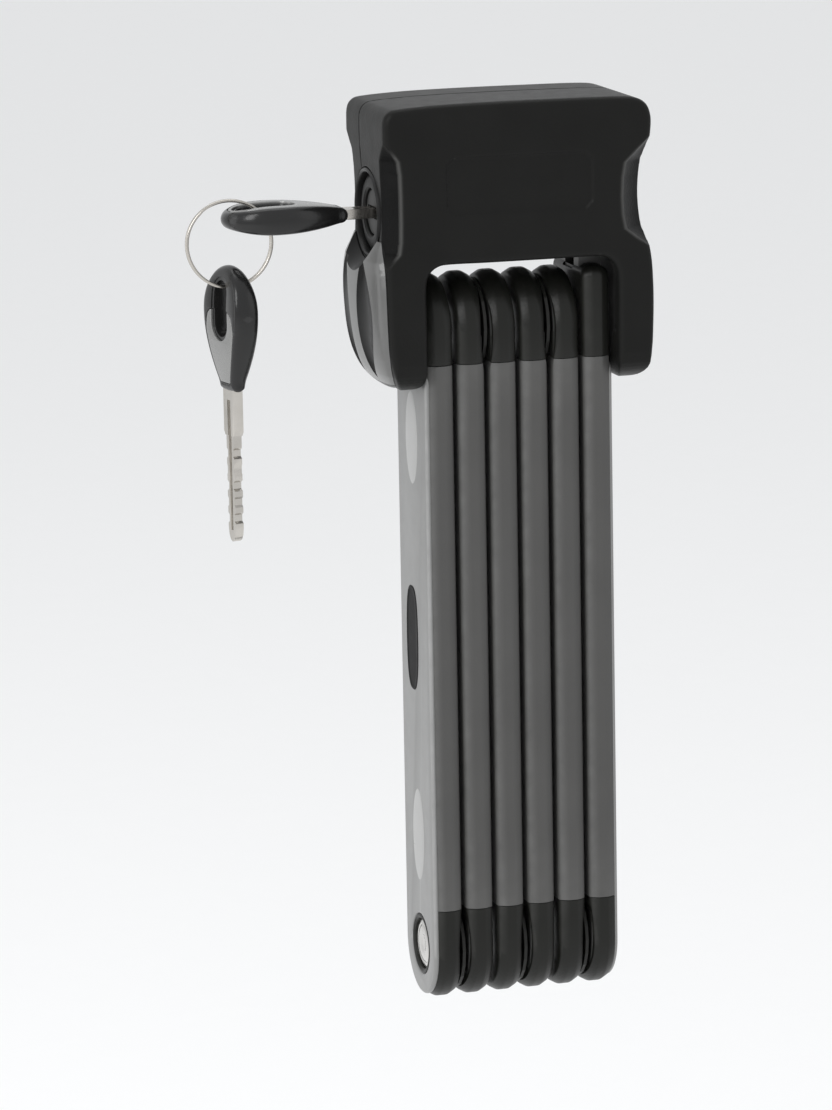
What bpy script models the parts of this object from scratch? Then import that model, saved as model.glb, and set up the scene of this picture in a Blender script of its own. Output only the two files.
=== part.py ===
"""Folding bike lock: six riveted steel bars under a lock head, with its keys.

Frame: X runs across the stack of folded bars, Y through its depth (the face with the
wide front panel looks along -Y), Z up the bars. The origin is on the flat top of the
lock head, above the middle of the folded stack. Dimensions below are millimetres, with
heights counted up from the lowest point of the bars; the scene is in metres.
"""

import math
from contextlib import contextmanager

import bmesh
import bpy
from mathutils import Matrix, Vector

MM = 0.001

# ---------------------------------------------------------------- driving dimensions
BAR_COUNT = 6
PITCH = 7.2            # centre to centre of neighbouring bars
PIVOT = 140.0          # rivet to rivet along a bar
BAR_W = 24.0           # jacketed width, the end radius is half of it
BAR_T = 6.3            # jacketed thickness
EDGE_R = 1.4           # bevel of the long edges
PLATE_T, PLATE_W = 5.0, 20.6
LOW_Z = BAR_W / 2      # height of the lower rivets
TOP_Z = LOW_Z + PIVOT  # height of the upper rivets
BAR_X = [(i - (BAR_COUNT - 1) / 2) * PITCH for i in range(BAR_COUNT)]
BOLT_X = BAR_X[-1]     # the locking bolt stands over the last bar
RIVET_R, RIVET_HEAD_R, RIVET_WINDOW_R = 4.0, 5.4, 6.9
RIVET_HOLE_R = RIVET_R + 0.1

TONGUE_W, TONGUE_TOP = 13.0, 170.2   # neck of the last bar that enters the head
ARM_IN, ARM_OUT = 22.4, 26.7         # inner and outer faces of the frame arms
CYL_Z = 178.0          # axis of the lock cylinder
BARREL_R = 8.4
BEZEL_R = 9.9
KEYWAY_H = 1.35        # half height of the keyway
SPRING_ROOF = 199.6    # top of the room for the bolt spring
GRUB_XY = (-6, 0)      # upright screw over the barrel

KEY_BOW_L, KEY_BOW_W, KEY_BOW_T = 27.0, 17.0, 6.0
KEY_END = 3.2          # width of the bar at the end of a bow, which the ring goes round
KEY_SHOULDER_X = -36.4
KEY2_TWIST = 13.0      # the hanging key turns a little towards the front, degrees
RING_R, RING_WIRE = 9.2, 0.7
RING_GAP = 0.15        # between the ring and each bow

# ---------------------------------------------------------------- clean start
for old in list(bpy.data.objects):
    bpy.data.objects.remove(old, do_unlink=True)

parts = bpy.data.collections.new("folding_bike_lock")
workshop = bpy.data.collections.new("workshop")   # holds solids while they are being made
bpy.context.scene.collection.children.link(parts)
bpy.context.scene.collection.children.link(workshop)

# ---------------------------------------------------------------- materials


def material(name, rgb, roughness, metallic=0.0):
    mat = bpy.data.materials.new(name)
    mat.use_nodes = True
    shader = mat.node_tree.nodes["Principled BSDF"]
    shader.inputs["Base Color"].default_value = (*rgb, 1)
    shader.inputs["Roughness"].default_value = roughness
    shader.inputs["Metallic"].default_value = metallic
    mat.diffuse_color = (*rgb, 1)
    return mat


BLACK = material("head_black", rgb=(0.020, 0.020, 0.019), roughness=0.45)
GLOSS = material("cheek_gloss", rgb=(0.045, 0.045, 0.044), roughness=0.28)
JACKET = material("end_black", rgb=(0.016, 0.016, 0.014), roughness=0.42)
GREY = material("grip_grey", rgb=(0.105, 0.104, 0.100), roughness=0.5)
SILVER = material("trim_silver", rgb=(0.42, 0.42, 0.41), roughness=0.38, metallic=0.3)
STEEL = material("hardened_steel", rgb=(0.45, 0.45, 0.44), roughness=0.35, metallic=1.0)
RIVET = material("rivet_steel", rgb=(0.72, 0.71, 0.69), roughness=0.22, metallic=1.0)
BRASS = material("disc_brass", rgb=(0.62, 0.47, 0.22), roughness=0.35, metallic=1.0)
KEYSTEEL = material("key_nickel", rgb=(0.66, 0.64, 0.60), roughness=0.25, metallic=1.0)
SPRING = material("spring_steel", rgb=(0.5, 0.5, 0.5), roughness=0.3, metallic=1.0)

# ---------------------------------------------------------------- modelling helpers
# Cutting tools overshoot the solid they cut; how far they overshoot is arbitrary.
TO_X = Matrix(((0, 0, 1), (1, 0, 0), (0, 1, 0))).to_4x4()   # outline (y, z), thickness along X
TO_Y = Matrix(((1, 0, 0), (0, 0, -1), (0, 1, 0))).to_4x4()  # outline (x, z), thickness along Y
TO_Z = Matrix.Identity(4)                                   # outline (x, y), thickness along Z


def span(half, middle=0):
    return (middle - half, middle + half)


def new_solid(name, data):
    obj = bpy.data.objects.new(name, data)
    workshop.objects.link(obj)
    return obj


def take_primitive(name):
    """Moves the primitive just added into the workshop."""
    obj = bpy.context.object
    for collection in obj.users_collection:
        collection.objects.unlink(obj)
    workshop.objects.link(obj)
    obj.name = name
    return obj


@contextmanager
def editing(mesh):
    bm = bmesh.new()
    bm.from_mesh(mesh)
    yield bm
    bm.to_mesh(mesh)
    bm.free()


def bake(obj):
    """A plain mesh object with obj's modifiers applied and its seams welded; obj is removed."""
    bpy.context.view_layer.update()
    graph = bpy.context.evaluated_depsgraph_get()
    mesh = bpy.data.meshes.new_from_object(obj.evaluated_get(graph))
    mesh.transform(obj.matrix_world)
    with editing(mesh) as bm:
        bmesh.ops.remove_doubles(bm, verts=bm.verts, dist=1e-7)
    name = obj.name
    bpy.data.objects.remove(obj, do_unlink=True)
    return new_solid(name, mesh)


def slab(outline, lo, hi, turn, bevel=0.0, segments=3, name="slab"):
    """A closed flat outline given thickness from lo to hi."""
    curve = bpy.data.curves.new(name, "CURVE")
    curve.dimensions = "2D"
    curve.fill_mode = "BOTH"
    curve.extrude = (hi - lo) / 2 * MM
    spline = curve.splines.new("POLY")
    spline.points.add(len(outline) - 1)
    for point, (a, b) in zip(spline.points, outline):
        point.co = (a * MM, b * MM, 0, 1)
    spline.use_cyclic_u = True
    obj = new_solid(name, curve)
    sign = -1 if turn is TO_Y else 1   # TO_Y sends the thickness axis to -Y
    obj.matrix_world = turn @ Matrix.Translation((0, 0, (lo + hi) / 2 * MM * sign))
    obj = bake(obj)
    with editing(obj.data) as bm:
        bmesh.ops.recalc_face_normals(bm, faces=bm.faces)
    if bevel:
        mod = obj.modifiers.new("round", "BEVEL")
        mod.width = bevel * MM
        mod.segments = segments
        mod.limit_method = "ANGLE"
        mod.angle_limit = math.radians(50)
        obj = bake(obj)
    return obj


def box(x, y, z, bevel=0.0, segments=2, name="box"):
    """A box between the (low, high) pairs x, y and z."""
    bpy.ops.mesh.primitive_cube_add(size=1)
    obj = take_primitive(name)
    size = [(b - a) * MM for a, b in (x, y, z)]
    middle = [(a + b) / 2 * MM for a, b in (x, y, z)]
    obj.data.transform(Matrix.Translation(middle) @ Matrix.Diagonal((*size, 1)))
    if bevel:
        mod = obj.modifiers.new("round", "BEVEL")
        mod.width = bevel * MM
        mod.segments = segments
        obj = bake(obj)
    return obj


def rod(radius, start, end, centre, axis="X", sides=20, name="rod"):
    """A cylinder along an axis from start to end; centre is its other two coordinates."""
    bpy.ops.mesh.primitive_cylinder_add(
        vertices=sides, radius=radius * MM, depth=(end - start) * MM
    )
    obj = take_primitive(name)
    middle = (start + end) / 2
    at, turn = {
        "X": ((middle, *centre), Matrix.Rotation(math.pi / 2, 4, "Y")),
        "Y": ((centre[0], middle, centre[1]), Matrix.Rotation(-math.pi / 2, 4, "X")),
        "Z": ((*centre, middle), TO_Z),
    }[axis]
    obj.data.transform(Matrix.Translation(Vector(at) * MM) @ turn)
    return obj


def turned(profile, axis_z, name="turned"):
    """A closed profile of (x, radius) points turned about the X direction at height axis_z."""
    mesh = bpy.data.meshes.new(name)
    with editing(mesh) as bm:
        loop = [bm.verts.new((x * MM, r * MM, 0)) for x, r in profile]
        for a, b in zip(loop, loop[1:] + loop[:1]):
            bm.edges.new((a, b))
    obj = new_solid(name, mesh)
    mod = obj.modifiers.new("turn", "SCREW")
    mod.axis = "X"
    mod.steps = mod.render_steps = 20
    mod.angle = math.tau
    mod.use_merge_vertices = True
    mod.merge_threshold = 1e-6
    obj = bake(obj)
    with editing(obj.data) as bm:
        loose = [e for e in bm.edges if not e.link_faces]
        bmesh.ops.delete(bm, geom=loose, context="EDGES")
        bmesh.ops.recalc_face_normals(bm, faces=bm.faces)
    obj.data.transform(Matrix.Translation((0, 0, axis_z * MM)))
    return obj


def combine(obj, tools, operation, solver):
    """Applies each tool to obj in turn, and removes the tools."""
    for tool in tools:
        mod = obj.modifiers.new("with_" + tool.name, "BOOLEAN")
        mod.operation = operation
        mod.solver = solver
        mod.object = tool
        obj = bake(obj)
        bpy.data.objects.remove(tool, do_unlink=True)
    return obj


def cut(obj, *tools, solver="EXACT"):
    return combine(obj, tools, "DIFFERENCE", solver)


def join(obj, *tools):
    return combine(obj, tools, "UNION", "EXACT")


def keep_inside(obj, tool, solver="EXACT"):
    return combine(obj, [tool], "INTERSECT", solver)


def copy_of(obj):
    return new_solid(obj.name, obj.data.copy())


# ---------------------------------------------------------------- outlines


def arc(cx, cy, r, start, end, steps):
    """Points round (cx, cy) from start to end, in degrees."""
    angles = [math.radians(start + (end - start) * k / steps) for k in range(steps + 1)]
    return [(cx + r * math.cos(a), cy + r * math.sin(a)) for a in angles]


def stadium(r):
    """A bar's outline in its own frame: lower rivet at the origin, upper rivet at PIVOT."""
    return arc(0, 0, r, 180, 360, 8) + arc(0, PIVOT, r, 0, 180, 8)


def squared(r, top, corner):
    """The same, but with a square upper end at height top above the lower rivet."""
    return (
        arc(0, 0, r, 180, 360, 8)
        + arc(r - corner, top - corner, corner, 0, 90, 3)
        + arc(-r + corner, top - corner, corner, 90, 180, 3)
    )


def arm_outline(r, top):
    """A side arm of the head: round below about the upper rivet, square above."""
    return arc(0, TOP_Z, r, 180, 360, 14) + [(r, top), (-r, top)]


# ---------------------------------------------------------------- bodies: empties on the joint axes


def body(name, at, parent=None):
    """An empty at a place in the stack; its "at" property keeps that place, in metres."""
    empty = bpy.data.objects.new("body_" + name, None)
    empty.empty_display_size = 0.01
    parts.objects.link(empty)
    empty["at"] = [c * MM for c in at]
    empty.location = empty["at"]
    if parent:
        empty.parent = parent
        empty.location -= Vector(parent["at"])
    return empty


HEAD = body("head", (0, 0, 0))
BARS = []
for i, bar_x in enumerate(BAR_X):
    # each bar turns on the rivet it shares with the one before, top and bottom by turns
    joint = (bar_x - PITCH / 2, 0, LOW_Z if i % 2 else TOP_Z)
    BARS.append(body(f"bar_{i + 1}", joint, BARS[-1] if BARS else HEAD))
CORE = body("cylinder_core", (0, 0, CYL_Z), HEAD)
BOLT = body("locking_bolt", (BOLT_X, 0, CYL_Z), HEAD)
KEY1 = body("key_1", (0, 0, CYL_Z), CORE)

RING_IN = RING_R - RING_WIRE
# rise of the wire at the edge of a bow's bar
RING_SAG = RING_IN - math.sqrt(RING_IN**2 - (KEY_END / 2) ** 2)
RING_C = Vector((
    KEY_SHOULDER_X - KEY_BOW_L + KEY_END / 2,
    0,
    CYL_Z + KEY_BOW_T / 2 + RING_GAP + RING_SAG - RING_IN,
))
KEY2_HANG = RING_C - Vector((0, 0, RING_R))
RING = body("key_ring", RING_C, KEY1)
KEY2 = body("key_2", KEY2_HANG, RING)


def finished_mesh(name, obj, mat):
    """Takes the mesh out of a finished solid, with its material and shading."""
    mesh = obj.data
    bpy.data.objects.remove(obj, do_unlink=True)
    mesh.name = name
    mesh.materials.clear()
    mesh.materials.append(mat)
    mesh.shade_smooth()
    mesh.set_sharp_from_angle(angle=math.radians(40))
    return mesh


def hang(name, mesh, on, location=(0, 0, 0)):
    made = bpy.data.objects.new(name, mesh)
    parts.objects.link(made)
    made.parent = on
    made.location = location


def part(name, obj, mat, on):
    """Finishes a solid modelled in place and hangs it on its body, origin on the joint."""
    obj.data.transform(Matrix.Translation(-Vector(on["at"])))
    hang(name, finished_mesh(name, obj, mat), on)


# ---------------------------------------------------------------- bars: plate, jacket and grip
# Each is built about its lower rivet, then stands at its place in the stack.
GREY_LO, GREY_HI = 22.0 - LOW_Z, 145.0 - LOW_Z   # the grey grip between the black ends
GRIP_GAP = 0.15                # between the grip and each black end
SQUARE_TOP = 165.0 - LOW_Z     # square upper end of the last jacket
NOTCH_LOW = 164.0 - LOW_Z      # the bolt's nose drops into this notch
NOTCH_Y = 3.1                  # half width
WEB_X, WEB_Y = 2.78, 11.0      # half sizes of the jacket's web inside the grip
BORE_X, BORE_Y = 2.84, 11.08   # half sizes of the grip's bore round that web
CAVITY_X = PLATE_T / 2 + 0.07  # half thickness of the jacket's cavity
PLATE_GAP = 0.1                # between plate and jacket, across the width


def bar_plate(tongue):
    obj = slab(stadium(PLATE_W / 2), *span(PLATE_T / 2), TO_X, name="plate")
    if tongue:
        lift = TONGUE_TOP - LOW_Z
        neck = box(span(PLATE_T / 2), span(TONGUE_W / 2), (PIVOT, lift), name="tongue")
        obj = join(obj, neck)
        obj = cut(obj, box(span(4), span(NOTCH_Y), (NOTCH_LOW, lift + 3), name="notch"))
    rivets = (0,) if tongue else (0, PIVOT)
    return cut(obj, *[rod(RIVET_HOLE_R, -4, 4, (0, z), name="hole") for z in rivets])


def bar_shell(square):
    """Outer skin of a jacketed bar, before it is divided into jacket and grip."""
    outline = squared(BAR_W / 2, SQUARE_TOP, 2.0) if square else stadium(BAR_W / 2)
    return slab(outline, *span(BAR_T / 2), TO_X, bevel=EDGE_R, segments=1, name="skin")


def bar_jacket(square):
    top = bar_shell(square)
    low = keep_inside(copy_of(top), box(span(9), span(20), (-30, GREY_LO), name="low_end"))
    top = keep_inside(top, box(span(9), span(20), (GREY_HI, PIVOT + 40), name="top_end"))
    web = box(span(WEB_X), span(WEB_Y), (GREY_LO - 4, GREY_HI + 4), name="web")
    obj = join(low, web, top)
    if square:
        mouth_y = span(TONGUE_W / 2 + PLATE_GAP)
        opening = box(span(CAVITY_X), mouth_y, (PIVOT, PIVOT + 30), name="mouth")
    else:
        opening = rod(RIVET_WINDOW_R, -6, 6, (0, PIVOT), name="window")
    return cut(
        obj,
        slab(stadium(PLATE_W / 2 + PLATE_GAP), *span(CAVITY_X), TO_X, name="cavity"),
        rod(RIVET_WINDOW_R, -6, 6, (0, 0), name="window"),
        opening,
    )


def bar_grip():
    lo, hi = GREY_LO + GRIP_GAP, GREY_HI - GRIP_GAP
    skin = keep_inside(bar_shell(False), box(span(9), span(20), (lo, hi), name="middle"))
    return cut(skin, box(span(BORE_X), span(BORE_Y), (lo - 5, hi + 5), name="bore"))


plain_bar = {
    "plate": finished_mesh("bar_1_plate", bar_plate(tongue=False), STEEL),
    "jacket": finished_mesh("bar_1_jacket", bar_jacket(square=False), JACKET),
    "grip": finished_mesh("bar_1_grip", bar_grip(), GREY),
}
tongue_bar = {
    "plate": finished_mesh("bar_6_plate", bar_plate(tongue=True), STEEL),
    "jacket": finished_mesh("bar_6_jacket", bar_jacket(square=True), JACKET),
    "grip": plain_bar["grip"],
}
for i, bar in enumerate(BARS):
    location = Vector((BAR_X[i], 0, LOW_Z)) * MM - Vector(bar["at"])
    for kind, mesh in (tongue_bar if i == BAR_COUNT - 1 else plain_bar).items():
        hang(f"bar_{i + 1}_{kind}", mesh, bar, location)

# ---------------------------------------------------------------- trims on the two outer faces
FACE = BAR_X[-1] + BAR_T / 2        # outer face of an end bar
TRIM_LO, TRIM_HI = FACE + 0.05, FACE + 0.40
TRIM_R, TRIM_CORNER = 10.9, 3.0
TRIM_TOP = 138.3                    # the trims stop just under the cheeks of the head
BADGE_Y, BADGE_Z = 2.0, 82.0        # middle of the badge
# (y, z) about the middle of the badge
BADGE = [
    (-4.6, -10), (-3.2, -12), (3.2, -12), (4.6, -10), (4.6, 10), (3.2, 12), (-3.2, 12), (-4.6, 10),
]


def trim(lo, hi):
    obj = slab(squared(TRIM_R, TRIM_TOP - LOW_Z, TRIM_CORNER), lo, hi, TO_X, name="trim")
    obj = cut(obj, rod(RIVET_WINDOW_R - 0.2, -30, 30, (0, 0), name="window"))
    obj.data.transform(Matrix.Translation((0, 0, LOW_Z * MM)))
    return obj


def badge(lo, hi, scale_y=1.0, scale_z=1.0):
    outline = [(y * scale_y + BADGE_Y, z * scale_z + BADGE_Z) for y, z in BADGE]
    return slab(outline, lo, hi, TO_X, name="badge")


left_trim = cut(trim(-TRIM_HI, -TRIM_LO), badge(-FACE - 2, -FACE + 2))
part("bar_1_trim", left_trim, SILVER, BARS[0])
part("bar_6_trim", trim(TRIM_LO, TRIM_HI), SILVER, BARS[-1])
inlay = badge(-FACE - 0.38, -TRIM_LO, scale_y=0.96, scale_z=0.985)
part("bar_1_badge", inlay, JACKET, BARS[0])

# ---------------------------------------------------------------- rivets and spacers
PLATE_FACE = PLATE_T / 2 + 0.05     # from a bar's middle to the rivet head or spacer on its plate
RIVET_HEAD_T = 0.5
SPACER_R = 6.6
FLANGE_R, FLANGE_T = 10.4, 0.7


def rivet(lo, hi, z):
    """A shaft between two outer plate faces with a flat head over each."""
    t, rim = RIVET_HEAD_T, RIVET_HEAD_R - 0.5
    return turned([
        (lo - t, 0), (lo - t, rim), (lo - t / 2, RIVET_HEAD_R), (lo, RIVET_HEAD_R), (lo, RIVET_R),
        (hi, RIVET_R), (hi, RIVET_HEAD_R), (hi + t / 2, RIVET_HEAD_R), (hi + t, rim), (hi + t, 0),
    ], z, name="rivet")


def spacer(lo, hi, z, flange):
    """A plastic washer between two plates, with a thin flange where two jackets face each other."""
    bore = RIVET_R + 0.12
    left, right = span(FLANGE_T / 2, (lo + hi) / 2)
    rim = [(left, SPACER_R), (left, FLANGE_R), (right, FLANGE_R), (right, SPACER_R)]
    profile = [(lo, bore), (lo, SPACER_R), *(rim if flange else []), (hi, SPACER_R), (hi, bore)]
    return turned(profile, z, name="spacer")


for i in range(1, BAR_COUNT):
    z = LOW_Z if i % 2 else TOP_Z
    a, b = BAR_X[i - 1], BAR_X[i]
    part(f"rivet_{i + 1}", rivet(a - PLATE_FACE, b + PLATE_FACE, z), RIVET, BARS[i - 1])
    washer = spacer(a + PLATE_FACE, b - PLATE_FACE, z, flange=True)
    part(f"spacer_{i + 1}", washer, JACKET, BARS[i - 1])
part("rivet_1", rivet(-ARM_OUT - 0.05, BAR_X[0] + PLATE_FACE, TOP_Z), RIVET, HEAD)
washer = spacer(-ARM_IN + 0.05, BAR_X[0] - PLATE_FACE, TOP_Z, flange=False)
part("spacer_1", washer, JACKET, HEAD)

# ---------------------------------------------------------------- lock frame
# A bridge over the bars with an arm down each side.
ARM_R = 10.6
FOOT_TOP = 172.4
frame = box(span(23.4), span(10.4), (169.1, 188.5), bevel=1.2, name="bridge")
frame = join(
    frame,
    box(span(ARM_OUT), span(ARM_R), (169.3, FOOT_TOP), name="foot"),
    slab(arm_outline(ARM_R, 172.2), -ARM_OUT, -ARM_IN, TO_X, name="arm"),
    slab(arm_outline(ARM_R, 172.2), ARM_IN, ARM_OUT, TO_X, name="arm"),
)
frame = cut(
    frame,
    rod(BARREL_R + 0.2, -32, 14.9, (0, CYL_Z), name="cylinder_bore"),
    box((14.0, 22.0), span(15), (160, FOOT_TOP), name="tongue_slot"),
    box((14.7, 20.8), span(9.1), (168, 192), name="bolt_channel"),
    rod(RIVET_HOLE_R, -30, -20, (0, TOP_Z), name="rivet_hole"),
    rod(2.1, 180, 192, GRUB_XY, axis="Z", name="grub_hole"),
)
part("lock_frame", frame, STEEL, HEAD)

# ---------------------------------------------------------------- front and rear covers
HEAD_D = 32.0          # depth of the lock head
HALF_D = HEAD_D / 2
SPLIT_Y = 4.0          # the covers meet here, behind the middle
SPLIT_GAP = 0.1        # from that plane to each cover
HEAD_TOP, HEAD_UNDER = 202.6, 167.5
# (x, z) round the head: right cheek, top, left cheek, underside
HEAD_OUTLINE = [
    (21.8, 146), (22.0, 142.6), (22.9, 140.3), (24.6, 139.1), (26.4, 139.3), (28.2, 140.9),
    (29.4, 143.6), (30.0, 148), (30.2, 154), (30.2, 163), (29.7, 168), (28.4, 173), (27.6, 178),
    (27.5, 184), (28.2, 189), (29.6, 194), (29.9, 197.2), (29.2, 200), (27.2, 201.8),
    (24, HEAD_TOP), (-28.4, HEAD_TOP), (-30.2, 202.0), (-31, 200.4),
    (-31, 194.5), (-29.9, 190), (-29.3, 185), (-29.3, 176), (-29.8, 172.6), (-28.2, 171.4),
    (-28.2, 147), (-27.8, 143.4), (-26.6, 141), (-24.6, 139.4), (-23, 139.6), (-22.0, 141.4),
    (-21.8, 144), (-21.8, 163.6), (-21.1, 166.0), (-19.4, 167.3), (-17.4, HEAD_UNDER),
    (17.4, HEAD_UNDER), (19.4, 167.3), (21.1, 166.0), (21.8, 163.6),
]
# (height, distance of the facet's inner edge from the middle of the head)
SCALLOP = [(166.0, 30.0), (175.5, 22.0), (185.5, 22.0), (195.5, 30.0)]
SCALLOP_W, SCALLOP_D = 13, 9.2   # legs of its triangular section, along X and Y
# (x, z) of a shallow blank panel on the front face
PANEL = [
    (-15, 178.5), (15, 178.5), (16.5, 180), (16.5, 188),
    (15, 189.5), (-15, 189.5), (-16.5, 188), (-16.5, 180),
]
PANEL_DEPTH = 0.45
SCREW_AT = [(-20, 196.2), (-5.3, 196.2), (9.4, 196.2)]   # (x, z) of the cover screws


def scallop(side_x, side_y):
    """A triangular prism that narrows the front or back face at grip height."""
    face_y = HALF_D + 1
    mesh = bpy.data.meshes.new("scallop")
    with editing(mesh) as bm:
        rows = []
        for z, x in SCALLOP:
            corners = [(x, face_y), (x + SCALLOP_W, face_y), (x + SCALLOP_W, face_y - SCALLOP_D)]
            rows.append([
                bm.verts.new((side_x * a * MM, side_y * b * MM, z * MM)) for a, b in corners
            ])
        for low, high in zip(rows, rows[1:]):
            for k in range(3):
                after = (k + 1) % 3
                bm.faces.new((low[k], low[after], high[after], high[k]))
        bm.faces.new(rows[0])
        bm.faces.new(rows[-1])
        bmesh.ops.recalc_face_normals(bm, faces=bm.faces)
    return new_solid("scallop", mesh)


def screw_rods(radius, start, end):
    return [rod(radius, start, end, at, axis="Y", sides=12) for at in SCREW_AT]


shell = slab(HEAD_OUTLINE, *span(HALF_D), TO_Y, bevel=2.2, segments=2, name="head")
shell = cut(shell, *[scallop(sx, sy) for sx in (-1, 1) for sy in (-1, 1)])
room_outline = arm_outline(ARM_R + 0.3, 171.4)
shell = cut(
    shell,
    box(span(23.7), span(11.1), (168.8, 188.9), name="bridge_room"),
    box(span(27.0), span(10.8), (160.5, 172.8), name="foot_room"),
    slab(room_outline, -27.4, -20, TO_X, name="arm_room"),
    slab(room_outline, 20, 27.3, TO_X, name="arm_room"),
    box((13.75, 22.3), (-12.8, 20), (150.5, 172.6), name="tongue_slot"),
    box((13.6, 21.8), span(9.3), (180, SPRING_ROOF), name="spring_room"),
    rod(BARREL_R + 0.3, -34, -20, (0, CYL_Z), name="cylinder_window"),
    rod(BEZEL_R + 0.2, -34, -29.3, (0, CYL_Z), name="bezel_seat"),
    box((-9, -3), (-3, 3), (186, 191.2), name="grub_room"),
    solver="MANIFOLD",
)
rear = copy_of(shell)
front_half = box(span(40), (-30, SPLIT_Y - SPLIT_GAP), (120, 220), name="front_half")
front = keep_inside(shell, front_half, solver="MANIFOLD")
front = cut(
    front,
    *screw_rods(1.35, -7, 6),      # threads
    slab(PANEL, -HALF_D - 2, -HALF_D + PANEL_DEPTH, TO_Y, name="panel"),
    solver="MANIFOLD",
)
part("front_cover", front, BLACK, HEAD)

rear_half = box(span(40), (SPLIT_Y + SPLIT_GAP, 30), (120, 220), name="rear_half")
rear = keep_inside(rear, rear_half, solver="MANIFOLD")
rear = cut(
    rear,
    *screw_rods(1.75, 2, 14),      # clearance holes
    *screw_rods(2.9, 12.6, 20),    # counterbores
    solver="MANIFOLD",
)
part("rear_cover", rear, BLACK, HEAD)

for k, at in enumerate(SCREW_AT):
    screw = rod(2.6, 12.9, 14.6, at, axis="Y", sides=12, name="screw_head")
    screw = join(screw, rod(1.25, -6, 13.5, at, axis="Y", sides=12, name="shank"))
    screw = cut(screw, rod(1.3, 13.6, 16, at, axis="Y", sides=6, name="hex_socket"))
    part(f"cover_screw_{k + 1}", screw, RIVET, HEAD)

# ---------------------------------------------------------------- bulged cover on the keyed side
CHEEK_X = (-33.4, -28.5)
# (y, z) down the front edge; the rear edge mirrors it
CHEEK_EDGE = [
    (-13.6, 171.2), (-15.4, 168.5), (-15.8, 163), (-15.6, 156),
    (-14.4, 149.5), (-12.2, 144.6), (-8.6, 141.2), (-4.4, 139.7),
]
LENS_AT = (-34.2, 0.8, 157.0)      # an ellipsoid hollow in the bulge
LENS_RADII = (2.2, 4.6, 15.0)


def cheek_cover():
    outline = CHEEK_EDGE + [(-y, z) for y, z in reversed(CHEEK_EDGE)]
    obj = slab(outline, *CHEEK_X, TO_X, name="cheek")
    mesh = obj.data
    # only the edges of the outer face are rounded
    weights = mesh.attributes.new("bevel_weight_edge", "FLOAT", "EDGE")
    for edge in mesh.edges:
        inmost = max(mesh.vertices[v].co.x for v in edge.vertices)
        weights.data[edge.index].value = 1.0 if inmost < -33.0 * MM else 0.0
    mod = obj.modifiers.new("bulge", "BEVEL")
    mod.width = 3.2 * MM
    mod.segments = 2
    mod.limit_method = "WEIGHT"
    obj = bake(obj)
    bpy.ops.mesh.primitive_uv_sphere_add(segments=16, ring_count=8, radius=1)
    lens = take_primitive("lens")
    size = Matrix.Diagonal((*[r * MM for r in LENS_RADII], 1))
    lens.data.transform(Matrix.Translation([c * MM for c in LENS_AT]) @ size)
    return cut(obj, lens, rod(BEZEL_R + 0.3, -36, -20, (0, CYL_Z), sides=48, name="bezel_room"))


part("left_cheek_cover", cheek_cover(), GLOSS, HEAD)

# ---------------------------------------------------------------- lock cylinder
# profiles are (x, radius)
BEZEL = [(-30.4, 8.75), (-30.4, 9.3), (-29.9, BEZEL_R), (-29.45, BEZEL_R), (-29.45, 8.75)]
BARREL = [
    (-29.6, 5.2), (-29.6, 8.0), (-29.2, BARREL_R), (10.2, BARREL_R),
    (10.2, 6.1), (-27.4, 6.1), (-27.4, 5.2),
]
PLUG = [(-29.4, 0), (-29.4, 5.0), (-27.2, 5.0), (-27.2, 5.85), (10.0, 5.85), (10.0, 0)]
DISC_X, DISC_PITCH, DISC_T, DISC_R = -24.6, 5.0, 2.2, 4.55
CAM_E = 5.0            # throw of the drive pin
CAM_ANGLE = math.radians(45)
PIN_Y, PIN_Z = CAM_E * math.cos(CAM_ANGLE), CYL_Z + CAM_E * math.sin(CAM_ANGLE)

part("keyhole_bezel", turned(BEZEL, CYL_Z), GLOSS, HEAD)
part("cylinder_barrel", turned(BARREL, CYL_Z), STEEL, HEAD)
plug = cut(
    turned(PLUG, CYL_Z),
    rod(4.75, -25.6, 3.0, (0, CYL_Z), name="disc_room"),
    box((-31, -20), span(3.4), span(KEYWAY_H, CYL_Z), name="keyway"),
    box((-24.5, 1.0), span(0.8), (CYL_Z + 4, CYL_Z + 7), name="sidebar_slot"),
)
part("cylinder_core", plug, STEEL, CORE)
part("sidebar", box((-24.2, 0.7), span(0.6), (CYL_Z + 4.72, CYL_Z + 5.7)), BRASS, CORE)
for k in range(4):
    x = DISC_X + DISC_PITCH * k
    disc = rod(DISC_R, x, x + DISC_T, (0, CYL_Z), sides=24, name="disc")
    disc = cut(disc, box((x - 1, x + 4), span(2.1), span(KEYWAY_H, CYL_Z), name="keyhole"))
    part(f"detainer_disc_{k + 1}", disc, BRASS, CORE)
cam = rod(7.4, 10.4, 13.4, (0, CYL_Z), name="cam_disc")
cam = join(cam, rod(1.6, 12.5, 19.6, (PIN_Y, PIN_Z), name="drive_pin"))
part("drive_cam", cam, STEEL, CORE)

# ---------------------------------------------------------------- locking bolt and its spring
# A wide yoke round the drive pin, with a nose that drops into the tongue's notch.
YOKE_TOP = 187.0
bolt = box((15.2, 20.3), span(8.6), (177.8, YOKE_TOP), bevel=0.4, segments=1, name="yoke")
nose = box((15.6, 20.1), span(2.8), (171.5, 180.0), bevel=0.5, segments=1, name="nose")
bolt = join(bolt, nose)
bolt = cut(bolt, box((10, 25), (1.4, 7.4), span(2.05, PIN_Z), name="pin_slot"))
part("locking_bolt", bolt, STEEL, BOLT)

COIL_TURNS, COIL_STEPS = 4, 10     # steps are per turn
COIL_R, COIL_Y, COIL_WIRE = 2.3, -4.5, 0.4
COIL_GAP = 0.15                    # clear of the yoke below and the roof above


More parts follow.
